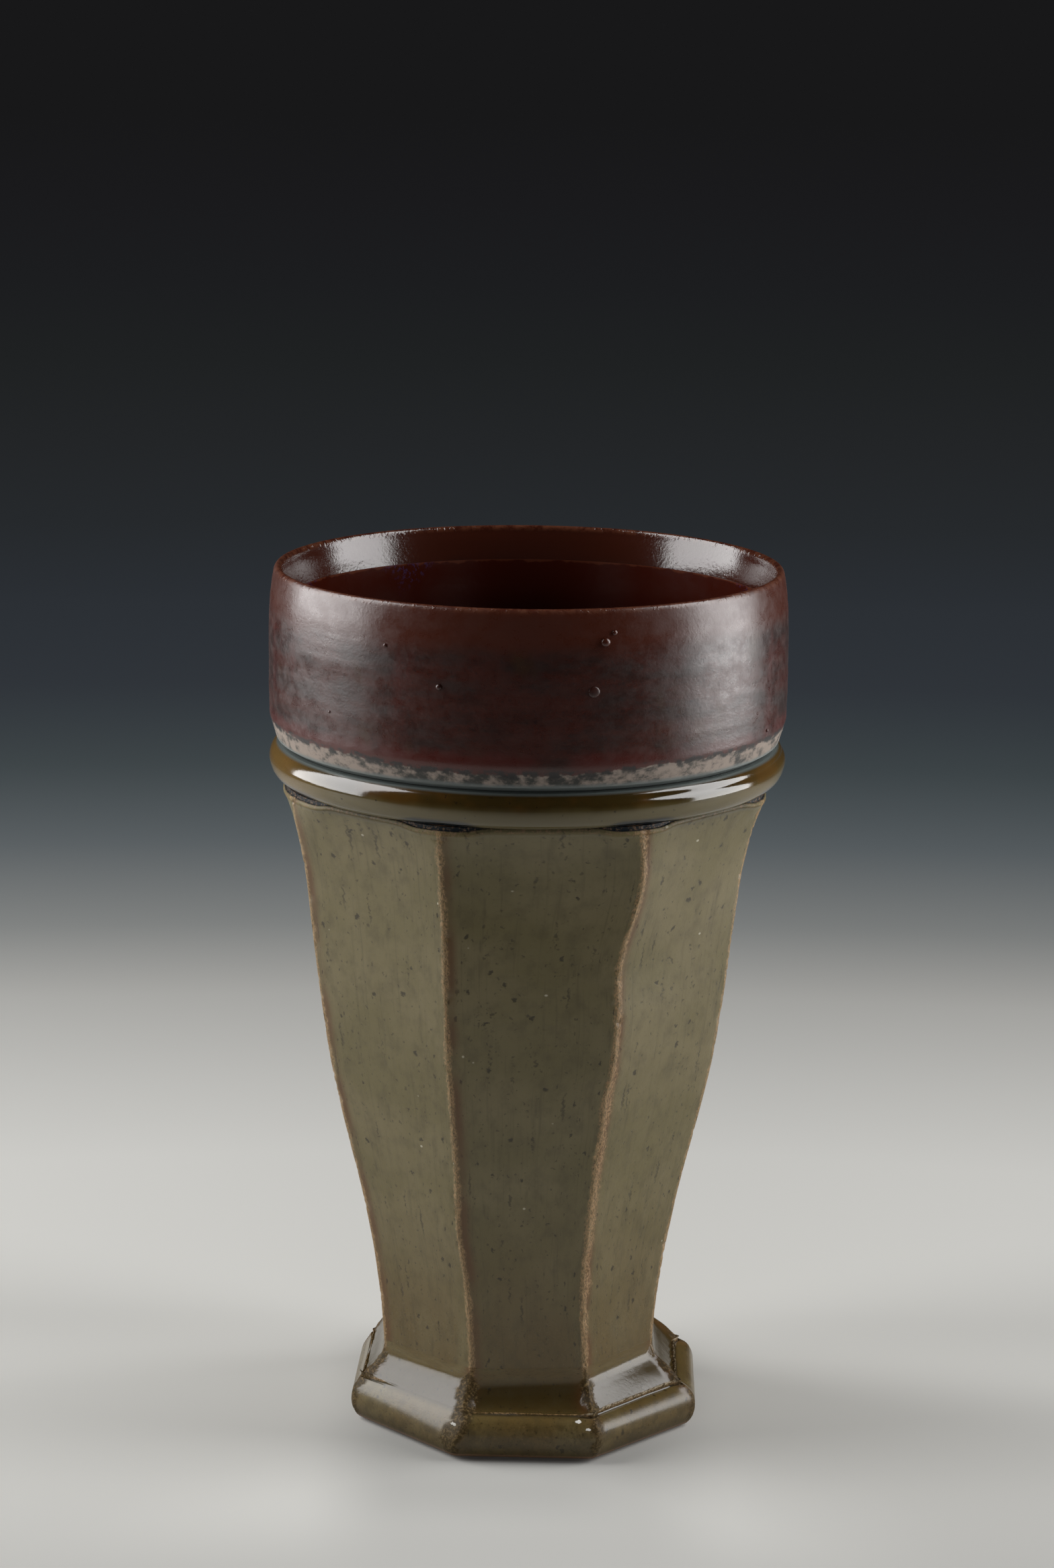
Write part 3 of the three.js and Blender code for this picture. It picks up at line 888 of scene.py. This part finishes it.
# What the wheel made: a profile turned round the axis, with throwing lines and slow unevenness.
def buildWheelTree():
    group = bpy.data.node_groups.new("turned on the wheel", "GeometryNodeTree")
    face = group.interface
    for name, kind in (
        ("Geometry", "Geometry"), ("Profile Points", "Int"), ("Steps Around", "Int"),
        ("Line Depth", "Float"), ("Line Pitch", "Float"), ("Sway Depth", "Float"),
        ("Sway Size", "Float"), ("Seed", "Float"), ("Glaze", "Material"),
    ):
        face.new_socket(name, in_out="INPUT", socket_type="NodeSocket" + kind)
    face.new_socket("Geometry", in_out="OUTPUT", socket_type="NodeSocketGeometry")
    tree = NodeTree(group)
    given = {s.name: Wire(tree, s) for s in group.nodes.new("NodeGroupInput").outputs}
    rows, around, seed = given["Profile Points"], given["Steps Around"], given["Seed"]
    sheet = tree.add("GeometryNodeMeshGrid", {}, {"Vertices X": around + 1, "Vertices Y": rows})
    index = tree.add("GeometryNodeInputIndex")
    row = index.work("MODULO", index, rows)
    column = index.work("FLOOR", index / rows)
    turn = column / around * (2 * math.pi)
    ofPlaces = {"data_type": "FLOAT_VECTOR", "domain": "POINT"}
    position = tree.add("GeometryNodeInputPosition")
    sampled = {"Geometry": given["Geometry"], "Value": position, "Index": row}
    reach, _, height = tree.partsOf(tree.add("GeometryNodeSampleIndex", ofPlaces, sampled))
    sine, cosine = turn.work("SINE", turn), turn.work("COSINE", turn)
    upright = tree.joined(sine * reach, cosine * reach * -1, height)
    swayPlace = tree.vector("ADD", upright, tree.joined(0, 0, seed))
    sway = tree.grain(swayPlace, 1 / given["Sway Size"], 1.0)
    linePlace = tree.joined(sine * 0.6, cosine * 0.6, height / given["Line Pitch"] + seed)
    lines = tree.grain(linePlace, 1.0)
    push = (sway - 0.5) * given["Sway Depth"] * 2 + (lines - 0.5) * given["Line Depth"] * 2
    # the middle of a floor stays where it is
    held = tree.add("ShaderNodeMapRange", {}, {0: reach, 1: 0.002, 2: 0.012, 3: 0.0, 4: 1.0})
    pushed = reach + push * held
    place = tree.joined(sine * pushed, cosine * pushed * -1, height)
    turned = tree.add("GeometryNodeSetPosition", {}, {"Geometry": sheet, "Position": place})
    closed = tree.add("GeometryNodeMergeByDistance", {}, {"Geometry": turned, "Distance": 1e-6})
    real = tree.add("GeometryNodeRealizeInstances", {}, {"Geometry": closed})
    glazed = tree.add("GeometryNodeSetMaterial", {}, {"Geometry": real, "Material": given["Glaze"]})
    tree.feed(group.nodes.new("NodeGroupOutput").inputs[0], glazed)
    return group


wheelTree = buildWheelTree()


def turnOnWheel(name, profile, values):
    # profile: reach and height, all the way round the section.
    source = bpy.data.meshes.new(name + "_profile")
    edges = [(i, i + 1) for i in range(len(profile) - 1)]
    source.from_pydata([(r / 1000, 0, z / 1000) for r, z in profile], edges, [])
    wheel = standIn(name + "_profile", source)
    modifier = wheel.modifiers.new("wheel", "NODES")
    modifier.node_group = wheelTree
    values = {"Profile Points": len(profile), **values}
    for socket in wheelTree.interface.items_tree:
        if socket.in_out == "INPUT" and socket.name in values:
            modifier[socket.identifier] = values[socket.name]
    bpy.context.view_layer.update()
    evaluated = wheel.evaluated_get(bpy.context.evaluated_depsgraph_get())
    mesh = bpy.data.meshes.new_from_object(evaluated)
    wheel.modifiers.remove(modifier)
    bpy.data.objects.remove(wheel)
    bpy.data.meshes.remove(source)
    return finishMesh(name, mesh)


def offsetBack(outline, depth):
    # The same outline moved to its left by a depth, in the other direction.
    points = np.array(outline, float)
    ways = np.gradient(points, axis=0)
    ways /= np.linalg.norm(ways, axis=1, keepdims=True)
    return (points + depth * np.stack([-ways[:, 1], ways[:, 0]], 1))[::-1]


def quadBend(start, pull, end, count):
    t = np.linspace(0, 1, count)[:, None]
    start, pull, end = np.array(start), np.array(pull), np.array(end)
    return start * (1 - t) ** 2 + 2 * pull * t * (1 - t) + end * t**2


def strung(first, *more):
    # Stretches of an outline as one, without the points that they share.
    outline = np.array(first)
    for stretch in more:
        shared = np.allclose(stretch[0], outline[-1])
        outline = np.vstack([outline, stretch[int(shared):]])
    return outline


# The bead between its two grooves. Each outline is of reach and height; a pull bends the stretch
# between two of its points.
beadCoat = {
    "crevice": (40.0, 109.35),
    "lowerPull": (41.9, 109.6),
    "crest": (42.3, 112.5),
    "upperPull": (42.25, 114.1),
    "shoulder": (41.0, 115.0),
    "shoulderPull": (40.85, 115.2),
    "grooveEdge": (40.5, 115.2),
    "groove": (39.85, 115.3),
    "back": ((39.4, 115.3), (39.3, 109.35)),
    "fluteDepth": 0.28,  # a throwing line along the right of the bead
    "fluteHeight": 113.95,
    "fluteWidth": 0.42,
    "fluteReach": (40.6, 41.2),
    "wheel": {
        "Steps Around": 420, "Line Depth": 0.00001, "Line Pitch": 0.0016,
        "Sway Depth": 0.00005, "Sway Size": 0.022, "Seed": 4.0,
    },
}


def wallTopAt(turns):
    # How far the wall's top reaches out, at turns in degrees.
    return np.interp(turns, columnTurns, topReach, period=360)


def buildBeadCoat():
    b = beadCoat
    outline = strung(
        quadBend(b["crevice"], b["lowerPull"], b["crest"], 16),
        quadBend(b["crest"], b["upperPull"], b["shoulder"], 20),
        quadBend(b["shoulder"], b["shoulderPull"], b["grooveEdge"], 5),
        np.linspace(b["grooveEdge"], b["groove"], 3),
    )
    piece = turnOnWheel("bead_coat", np.vstack([outline, b["back"], outline[:1]]), b["wheel"])
    points = np.array([v.co for v in piece.data.vertices]) * 1000
    turns = np.degrees(np.arctan2(points[:, 0], -points[:, 1]))
    reach = np.hypot(points[:, 0], points[:, 1])
    along = ease(turns, 12, 34) * (1 - ease(turns, 78, 105)) + 0.25 * ease(-turns, 100, 150)
    flute = b["fluteDepth"] * along * bump(points[:, 2] - b["fluteHeight"], b["fluteWidth"])
    flute = flute * ease(reach, *b["fluteReach"])
    points[:, :2] *= ((reach - flute) / reach)[:, None]
    piece.data.vertices.foreach_set("co", (points / 1000).ravel())
    # the glaze pools in the crevice, and more between the corners that stand out of it
    out = standsOut(wallTopAt(turns))
    # dark there as pooled glaze and as painted shade of the crevice
    pool = (1 - ease(points[:, 2], 109.5 + 0.6 * out, 109.9 + 1.0 * out)) * (0.35 + 0.65 * out)
    storeValues(piece.data, "pool", pool)
    piece.data.update()
    return piece


# The collar: chamfer, straight side, lip and the bevel inside it.
collarCoat = {
    "groove": (39.9, 115.35),
    "chamferFoot": (41.15, 116.15),
    "chamferTop": (42.0, 118.9),
    "chamferPull": (42.2, 119.4),
    "sideFoot": (42.26, 119.9),
    "side": ((42.33, 124.0), (42.33, 130.0)),
    "lipLean": 1.0,
    "leanStart": 131.0,
    "leanPower": 2.6,
    "lipHeight": 143.95,
    "lipRound": 0.75,
    "lipInner": (40.1, 142.9),
    "bevelPull": (39.5, 141.0),
    "line": (39.0, 138.3),
    "backEvery": 3,
    "wheel": {
        "Steps Around": 420, "Line Depth": 0.00008, "Line Pitch": 0.0022,
        "Sway Depth": 0.0001, "Sway Size": 0.03, "Seed": 1.5,
    },
    # blisters: turn, height, width, how far they stand out
    "blisters": (
        (16.2, 138.9, 1.5, 0.6), (18.2, 140.3, 0.9, 0.35), (-18.8, 131.6, 1.0, 0.4),
        (13.8, 131.3, 1.8, 0.25), (-31.5, 137.2, 0.6, 0.2), (64.0, 120.8, 0.6, 0.25),
        (-47.0, 125.2, 0.5, 0.18), (128.0, 133.0, 0.9, 0.4), (171.0, 127.0, 0.8, 0.3),
        (215.0, 136.0, 0.7, 0.3), (246.0, 122.5, 1.0, 0.35), (97.0, 128.0, 0.6, 0.25),
    ),
}


def sideReach(height):
    # The collar's reach at a height, or at each of some: it leans inwards to the lip.
    c = collarCoat
    leaned = np.maximum(height - c["leanStart"], 0) / (c["lipHeight"] - c["leanStart"])
    return c["side"][1][0] - c["lipLean"] * leaned ** c["leanPower"]


def addBlisters(piece):
    shape = bmesh.new()
    shape.from_mesh(piece.data)
    for turn, height, width, rise in collarCoat["blisters"]:
        angle, reach = math.radians(turn), sideReach(height)
        middle = Vector((reach * math.sin(angle), -reach * math.cos(angle), height)) / 1000
        size = Matrix.Diagonal((width / 2000, rise / 1000, width / 2100, 1))
        place = Matrix.Translation(middle) @ Matrix.Rotation(angle, 4, "Z") @ size
        bmesh.ops.create_icosphere(shape, subdivisions=3, radius=1, matrix=place)
    shape.to_mesh(piece.data)
    shape.free()
    piece.data.polygons.foreach_set("use_smooth", [True] * len(piece.data.polygons))


def buildCollarCoat():
    c = collarCoat
    lip, lipRound = c["lipHeight"], c["lipRound"]
    rise = np.linspace(c["leanStart"], lip - lipRound, 22)
    side = np.stack([sideReach(rise), rise], 1)
    crest = side[-1][0]
    innerReach = c["lipInner"][0]
    outline = strung(
        np.linspace(c["groove"], c["chamferFoot"], 4),
        np.linspace(c["chamferFoot"], c["chamferTop"], 7),
        quadBend(c["chamferTop"], c["chamferPull"], c["sideFoot"], 5),
        np.linspace(c["sideFoot"], c["side"][0], 9),
        np.linspace(*c["side"], 12),
        side,
        quadBend(side[-1], (crest - 0.25, lip + 0.02), (crest - lipRound, lip), 8),
        quadBend((crest - lipRound, lip), (innerReach + 0.15, lip - 0.05), c["lipInner"], 8),
        quadBend(c["lipInner"], c["bevelPull"], c["line"], 10),
    )
    back = offsetBack(outline[::c["backEvery"]], cut["coatDepth"])
    piece = turnOnWheel("collar_coat", np.vstack([outline, back, outline[:1]]), c["wheel"])
    addBlisters(piece)
    return piece


# The glaze poured inside.
linerCoat = {
    "floor": ((0.0, 9.5), (8.0, 9.4), (11.8, 9.75)),  # start, pull and end
    "corner": ((11.8, 9.75), (17.2, 10.1), (17.8, 14.0)),
    # heights, and the wall's reaches there
    "wall": (
        (14.0, 17.8), (20, 18.2), (28, 19.15), (40, 21.4), (52, 24.1), (64, 26.6), (76, 28.45),
        (88, 29.8), (98, 31.0), (109.3, 34.4), (115.3, 35.9), (125.3, 37.7), (138.3, 38.85),
    ),
    "wallRows": 110,
    "backEvery": 6,
    "floorBack": (0.0, 9.0),
    "wheel": {
        "Steps Around": 288, "Line Depth": 0.00016, "Line Pitch": 0.006,
        "Sway Depth": 0.00018, "Sway Size": 0.04, "Seed": 9.0,
    },
}


def buildLinerCoat():
    c = linerCoat
    heights = np.linspace(c["wall"][0][0], c["wall"][-1][0], c["wallRows"])
    wall = np.stack([smoothThrough(c["wall"], heights), heights], 1)
    inside = strung(quadBend(*c["floor"], 12), quadBend(*c["corner"], 12), wall)
    backRows = [*range(0, len(inside) - 1, c["backEvery"]), -1]
    back = offsetBack(inside[backRows], -cut["coatDepth"])
    back[-1] = c["floorBack"]
    return turnOnWheel("liner_coat", np.vstack([inside, back]), c["wheel"])


beadPiece = buildBeadCoat()
collarPiece = buildCollarCoat()
linerPiece = buildLinerCoat()
print("turned pieces built:", *(len(p.data.polygons) for p in (beadPiece, collarPiece, linerPiece)))


# Ash glaze on the facets and the foot. Scales are per millimetre, heights are above the table.
ash = {
    "ior": {"facetGlaze": 1.49, "footGlaze": 1.44},
    "bump": (0.3, 0.00012),  # strength and distance
    "rough": 0.13,
    "olive": tint(98, 89, 58),
    "pale": tint(108, 98, 69),
    "amber": tint(88, 72, 41),
    "deep": tint(50, 39, 17),
    "streak": tint(66, 58, 37),
    "speck": tint(40, 33, 20),
    "grain": tint(206, 200, 180),
    "thin": tint(156, 126, 90),
    "burr": tint(176, 164, 142),
    "rust": tint(88, 60, 34),
    # pooled glaze, and painted shade in the crevice under the bead and under the foot's burr
    "pool": tint(26, 32, 36),
    "crust": tint(112, 92, 60),
    "edge": tint(112, 86, 66),
    "chipped": tint(122, 98, 78),
    "shade": tint(48, 42, 28),
    # from and to which height each begins or ends
    "lowGlaze": (50.0, 8.0),
    "coveTop": (12.6, 10.4),
    "coveFoot": (6.9, 7.9),
    "wallFoot": (15.0, 24.0),
    "rollTop": (7.0, 6.0),
    "underBead": (100.0, 108.0),
    "footCrust": (100.0, 20.0),
    "shadeBelow": (5.0, 1.5),
    "edgeBelow": (1.5, 1.2),
    # painted glints: pale spots on the foot's roll that stand for the lamps' reflection
    "glint": tint(222, 219, 212),
    "glints": ((9.6, -28.0, 6.9), (11.2, -28.5, 5.9), (-10.9, -28.2, 5.9)),
    "glintSize": (0.5, 8.0, 0.19),
    # marks of iron, in cells that the surface cuts: share of height, scale, outer and inner edge
    "runs": (0.07, 0.68, 0.19, 0.06),
    "dots": (0.6, 0.42, 0.15, 0.08),
    "crumbs": (0.5, 1.0, 0.19, 0.08),
    "cellDrift": (1.3, 1.3, 1.3),
}


def ironMarks(tree, flow, low, onWall, fine):
    # Specks of iron, and the runs that some of them leave.
    drift = tree.scaled(tree.grain(flow, 1.3, 3.0, 0.6, output=1), *ash["cellDrift"])
    drifted = tree.vector("ADD", flow, drift)

    def inCells(name):
        share, scale, outer, inner = ash[name]
        return tree.step(tree.cells(tree.squashed(drifted, share), scale), outer, inner)

    smudges = tree.patches(0.62, 0.8, tree.squashed(flow, 0.2), 0.7, 3.0, 0.6)
    specks = tree.patches(0.70, 0.80, tree.squashed(flow, 0.6), 1.6, 1.0)
    marks = inCells("runs") * onWall * 0.65
    for more in (
        smudges * 0.4, specks * 0.55, fine * 0.2, fine * low * 0.4,
        inCells("crumbs") * 0.6, inCells("dots") * 0.85,
    ):
        marks = marks.orMore(more)
    return marks


def ashGlazeFinish(name):
    material, tree = startFinish(name)
    flow = tree.attribute("flow", 1)
    ridge, rust, pool, crust = map(tree.attribute, ("ridge", "rust", "pool", "crust"))
    place = tree.place()
    height = tree.partsOf(flow)[2]
    low, onWall, onRoll, underBead, footCrust, shaded = (
        tree.step(height, *ash[name])
        for name in ("lowGlaze", "wallFoot", "rollTop", "underBead", "footCrust", "shadeBelow")
    )
    cove = tree.step(height, *ash["coveTop"]) * tree.step(height, *ash["coveFoot"])
    streaks = tree.patches(0.52, 0.74, tree.squashed(flow, 0.03), 2.1, 4.0, 0.6)
    fine = tree.patches(0.60, 0.78, tree.squashed(flow, 0.7), 2.6, 2.0)
    marks = ironMarks(tree, flow, low, onWall, fine)
    grains = tree.step(tree.cells(flow, 0.19), 0.05, 0.025) * onWall
    broken = tree.patches(0.40, 0.60, flow, 2.2, 3.0, 0.7)
    frayed = ridge + 0.7 * tree.grain(flow, 1.1, 4.0, 0.75) - 0.35
    thinned = tree.step(frayed, 0.28, 0.8) * (0.1 + 0.9 * broken)
    crumbs = tree.grain(place, 2100.0, 3.0, 0.7)
    crumbly = tree.blend(tree.step(crumbs, 0.46, 0.66), ash["deep"], ash["crust"])
    colour = tree.laid(
        ash["olive"],
        (tree.patches(0.35, 0.65, flow, 0.07, 3.0), ash["pale"]),
        (low * tree.patches(0.05, 0.65, tree.squashed(flow, 0.5), 0.12, 3.0), ash["amber"]),
        (cove * 0.8, ash["deep"]),
        (tree.patches(0.42, 0.74, tree.squashed(flow, 0.6), 0.5, 5.0, 0.6) * 0.4, ash["streak"]),
        (streaks * 0.3, ash["streak"]),
        (marks * 0.95, ash["speck"]),
        (grains * 0.5, ash["grain"]),
        (rust * 0.9, ash["rust"]),
        (thinned * 0.85, ash["thin"]),
        (tree.step(ridge, 1.0, 1.7) * broken, ash["burr"]),
        (tree.step(ridge, 0.1, 0.8) * fine, ash["speck"]),
        (pool, ash["pool"]),
        (crust * footCrust * 0.85, crumbly),
        (crust * underBead * tree.step(crumbs, 0.5, 0.62) * 0.8, ash["chipped"]),
    )
    # painted glints on the foot's roll
    sized = tree.scaled(place, *(1000 / size for size in ash["glintSize"]))
    ragged = tree.grain(place, 2600.0, 2.0) * 1.6
    for spot in ash["glints"]:
        middle = tuple(value / size for value, size in zip(spot, ash["glintSize"]))
        glint = tree.step(tree.away(sized, middle) + ragged, 1.9, 1.6)
        colour = tree.blend(glint, colour, ash["glint"])
    # the roll is mottled, darker underneath, and bare and toasted at its lower edge
    colour = tree.laid(
        colour,
        (onRoll * tree.patches(0.42, 0.6, place, 420.0, 4.0, 0.65) * 0.4, ash["deep"]),
        (onRoll * tree.step(crumbs, 0.58, 0.68) * 0.65, ash["deep"]),
        (onRoll * tree.step(crumbs, 0.38, 0.30) * 0.6, ash["crust"]),
        (shaded * 0.4, ash["shade"]),
        (tree.step(height + 0.5 * crumbs, *ash["edgeBelow"]) * 0.75, ash["edge"]),
    )
    pebbles = tree.grain(flow, 1.2, 3.0, 0.6)
    relief = pebbles * 0.9 + streaks * -0.15 + marks * -0.5 + grains * 0.5
    relief = relief + thinned * tree.grain(flow, 2.8, 2.0) * 0.8
    relief = relief * (1 - 0.6 * tree.step(height, 13.5, 11.5))
    relief = relief + (crust * 2.0 + onRoll * 0.5) * crumbs
    normal = tree.bump(relief, *ash["bump"])
    rough = ash["rough"] + 0.08 * pebbles + 0.12 * onRoll
    for more, start, full in ((0.09, 10.5, 14.5), (0.07, 14.0, 34.0), (0.2 * thinned, 12.0, 24.0)):
        rough = rough + more * tree.step(height, start, full)
    glossy = tree.surface(colour, rough, normal, {"IOR": ash["ior"][name]})
    matte = tree.surface(colour, 0.7, normal, {"Specular IOR Level": 0.15})
    dull = (crust * 0.9).orMore(tree.step(height, 3.2, 1.6) * 0.6)
    endFinish(tree, tree.add("ShaderNodeMixShader", {}, {0: dull, 1: glossy, 2: matte}))
    return material


# Ash glaze on the bead, where it lies thick.
bead = {
    "ior": 1.6,
    "bump": (0.12, 0.00012),
    "rough": 0.08,
    "amber": tint(50, 38, 14),
    "orange": tint(68, 46, 16),
    "olive": tint(86, 76, 47),
    "speck": tint(28, 20, 12),
    # pooled glaze and painted shade in the crevice
    "pool": tint(20, 25, 29),
    "groove": tint(84, 90, 88),
    # painted sheen where the bead turns away to the left and the right
    "end": tint(112, 88, 50),
    "oliveBelow": (113.5, 111.7),
    "grooveAbove": (114.7, 115.1),
    "ends": (29.0, 41.0),  # paler where the bead turns away to the left and the right
}


def beadGlazeFinish():
    material, tree = startFinish("beadGlaze")
    spot, across, _, height = tree.spot()
    wavy = height + 1.4 * tree.grain(tree.squashed(spot, 0.3), 0.16, 3.0) - 0.7
    # a painted sheen, paler where the bead turns away from the viewer, less on the right
    ends = tree.step(abs(across), *bead["ends"]) * (1 - 0.6 * tree.step(across, 0.0, 20.0))
    colour = tree.laid(
        bead["amber"],
        (tree.patches(0.45, 0.7, spot, 0.12, 3.0, 0.6), bead["orange"]),
        (tree.step(wavy, *bead["oliveBelow"]), bead["olive"]),
        (tree.patches(0.68, 0.76, spot, 1.0, 2.0) * 0.7, bead["speck"]),
        (ends * 0.6, bead["end"]),
        (tree.attribute("pool"), bead["pool"]),
        (tree.step(height, *bead["grooveAbove"]), bead["groove"]),
    )
    normal = tree.bump(tree.grain(spot, 0.6, 2.0), *bead["bump"])
    rough = bead["rough"] + 0.06 * tree.grain(spot, 0.5, 2.0)
    endFinish(tree, tree.surface(colour, rough, normal, {"IOR": bead["ior"]}))
    return material


# Iron glaze on the collar.
iron = {
    "ior": 1.6,
    "bump": (0.35, 0.00015),
    "rough": 0.19,
    "roughInside": 0.14,
    "red": tint(60, 24, 15),
    "brown": tint(40, 21, 16),
    "umber": tint(68, 28, 14),
    "bright": tint(70, 21, 13),
    "ochre": tint(58, 38, 18),
    "pale": tint(140, 126, 115),
    "shade": tint(44, 43, 38),
    "black": tint(12, 11, 12),
    "groove": tint(104, 110, 108),
    "rim": tint(98, 58, 40),
    "inside": tint(34, 12, 7),
    "crestAbove": (142.9, 143.8),
    "umberAbove": (137.2, 141.0),
    "insideAbove": (130.0, 132.0),
    "insideWithin": (41.0, 40.4),
    "brightBelow": (124.2, 122.0),
    "seamBelow": (121.0, 120.6),
    "bareBelow": (120.35, 120.05),
    "seamAbove": (119.5, 120.0),
    "grooveBelow": (117.2, 116.4),
}


def ironGlazeFinish():
    material, tree = startFinish("ironGlaze")
    spot, across, deep, height = tree.spot()
    banded = tree.scaled(spot, 0.3, 0.3, 1.0)
    clouds = tree.grain(banded, 0.26, 5.0, 0.65)
    freckles = tree.grain(spot, 2.4, 3.0, 0.7)
    ragged = tree.grain(spot, 0.32, 4.0, 0.65)
    top = tree.step(height + 3.0 * tree.grain(spot, 0.09, 4.0, 0.6), *iron["umberAbove"])
    margin = tree.step(height + 3.4 * ragged, *iron["brightBelow"])
    margin = margin * tree.patches(0.25, 0.5, spot, 0.1, 2.0)
    # where the glaze ends: a pale, patchy band with a dark seam over it, lower in the middle
    middle = tree.step(abs(across + 4), 26.0, 8.0) * tree.step(deep, 10.0, -20.0)
    edge = height + 1.6 * ragged + 0.5 * tree.grain(spot, 1.3, 3.0, 0.6) + 0.9 * middle
    bare = tree.step(edge, *iron["bareBelow"])
    patchy = tree.grain(tree.squashed(spot, 1.5), 0.34, 4.0, 0.65)
    # the band's patches are painted darker in the middle in front, as the chamfer's shade
    dark = tree.step(patchy + 0.08 * middle, 0.44, 0.66)
    seamFoot, seamFull = iron["seamAbove"]
    seam = tree.step(edge, *iron["seamBelow"]) * tree.step(edge, seamFoot - 0.5 * middle, seamFull)
    seam = seam * tree.patches(0.40, 0.56, spot, 0.6, 3.0)
    inner = tree.step(tree.reach(across, deep), *iron["insideWithin"])
    inner = inner * tree.step(height, *iron["insideAbove"])
    crest = tree.step(height, *iron["crestAbove"])
    flames = tree.patches(0.56, 0.74, tree.squashed(spot, 0.25), 0.13, 4.0, 0.65)
    ochre = tree.patches(0.55, 0.75, tree.squashed(spot, 0.5), 0.16, 4.0, 0.65)
    colour = tree.laid(
        iron["red"],
        (tree.step(clouds, 0.35, 0.65), iron["brown"]),
        (flames * 0.5, iron["bright"]),
        (tree.step(freckles, 0.52, 0.7) * 0.5, iron["black"]),
        (ochre * 0.6, iron["ochre"]),
        (top * 0.85, iron["umber"]),
        (margin * 0.85, iron["bright"]),
        (bare, tree.blend(dark, iron["pale"], iron["shade"])),
        (seam * 0.9, iron["black"]),
        (tree.step(height + 0.5 * ragged, *iron["grooveBelow"]), iron["groove"]),
        (inner * 0.45, iron["inside"]),
        (crest * tree.patches(0.36, 0.62, spot, 0.6, 3.0, 0.7) * 0.6, iron["rim"]),
    )
    pits = tree.grain(spot, 1.5, 3.0, 0.65)
    waves = tree.grain(banded, 0.5, 4.0, 0.6)
    blobs = tree.patches(0.52, 0.68, spot, 1.1, 2.0, 0.6)
    relief = pits * 0.4 + waves * 0.5 + freckles * 0.25 + blobs * (crest * 0.8 + inner * 0.12)
    blotches = tree.patches(0.36, 0.64, tree.scaled(spot, 0.8, 0.8, 1.0), 0.42, 5.0, 0.7)
    satin = iron["rough"] + (0.13 - 0.05 * top) * blotches + 0.10 * clouds + 0.06 * freckles
    rough = satin * (1 - inner) + iron["roughInside"] * inner + 0.2 * bare * (1 - inner)
    normal = tree.bump(relief, *iron["bump"])
    endFinish(tree, tree.surface(colour, rough, normal, {"IOR": iron["ior"]}))
    return material


# The dark glaze poured inside.
liner = {
    "ior": 1.36,
    "bump": (0.2, 0.0001),
    "rough": 0.14,
    "deep": tint(22, 4, 2),
    "upper": tint(52, 14, 5),
    "line": tint(84, 42, 26),
    "bloom": tint(58, 48, 84),
    "upperAbove": (122.0, 141.0),
    "lineAbove": (138.6, 138.9),
}


def linerGlazeFinish():
    material, tree = startFinish("linerGlaze")
    spot, _, _, height = tree.spot()
    wavy = height + 5.0 * tree.grain(spot, 0.05, 2.0)
    ragged = height + 1.4 * tree.grain(spot, 0.5, 3.0)
    bloom = tree.patches(0.62, 0.72, spot, 0.06, 2.0) * tree.patches(0.5, 0.62, spot, 1.4, 3.0, 0.7)
    colour = tree.laid(
        liner["deep"],
        (tree.step(wavy, *liner["upperAbove"]), liner["upper"]),
        (tree.step(ragged, *liner["lineAbove"]) * 0.8, liner["line"]),
        (bloom * 0.5, liner["bloom"]),
    )
    normal = tree.bump(tree.grain(spot, 0.8, 3.0), *liner["bump"])
    rough = liner["rough"] + 0.12 * tree.grain(spot, 0.4, 2.0)
    endFinish(tree, tree.surface(colour, rough, normal, {"IOR": liner["ior"]}))
    return material


# The bare clay of the foot, also laid on the clay pieces behind the glazes.
clay = {
    "bump": (0.55, 0.00018),
    "rough": 0.82,
    "body": tint(150, 128, 98),
    "toasted": tint(136, 92, 60),
    "grog": tint(86, 66, 46),
    "pale": tint(178, 160, 132),
    "toastedPast": (25.6, 27.6),  # reach from the axis
}


def bareClayFinish():
    material, tree = startFinish("bareClay")
    spot, across, deep, _ = tree.spot()
    clouds = tree.grain(spot, 0.12, 4.0, 0.6)
    flash = tree.step(tree.reach(across, deep) + 3.0 * clouds, *clay["toastedPast"])
    grog = tree.patches(0.64, 0.70, spot, 1.5, 2.0, 0.6)
    colour = tree.laid(
        clay["body"],
        (tree.step(clouds, 0.3, 0.7), clay["pale"]),
        (flash * 0.85, clay["toasted"]),
        (grog * 0.7, clay["grog"]),
    )
    normal = tree.bump(tree.grain(spot, 2.4, 4.0, 0.7) + grog * -0.5, *clay["bump"])
    endFinish(tree, tree.surface(colour, clay["rough"] + 0.12 * clouds, normal))
    return material


bareClay = bareClayFinish()
for piece, finish, slot, node in (
    (facetPiece, ashGlazeFinish("facetGlaze"), "ash_glaze", "facet_glaze"),
    (footPiece, ashGlazeFinish("footGlaze"), "ash_glaze", "foot_glaze"),
    (beadPiece, beadGlazeFinish(), "amber_glaze", "bead_glaze"),
    (collarPiece, ironGlazeFinish(), "iron_glaze", "collar_glaze"),
    (linerPiece, linerGlazeFinish(), "liner_glaze", "liner_glaze"),
    (footClayPiece, bareClay, "stoneware", "base"),
):
    piece.data.materials.clear()
    piece.data.materials.append(finish)
    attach(piece, "root")
    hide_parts(node)
for node in ("faceted_wall", "bead_ring", "collar"):
    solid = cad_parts[node]
    for place in range(len(solid.material_slots)):
        solid.material_slots[place].material = bareClay
print("finishes laid on")
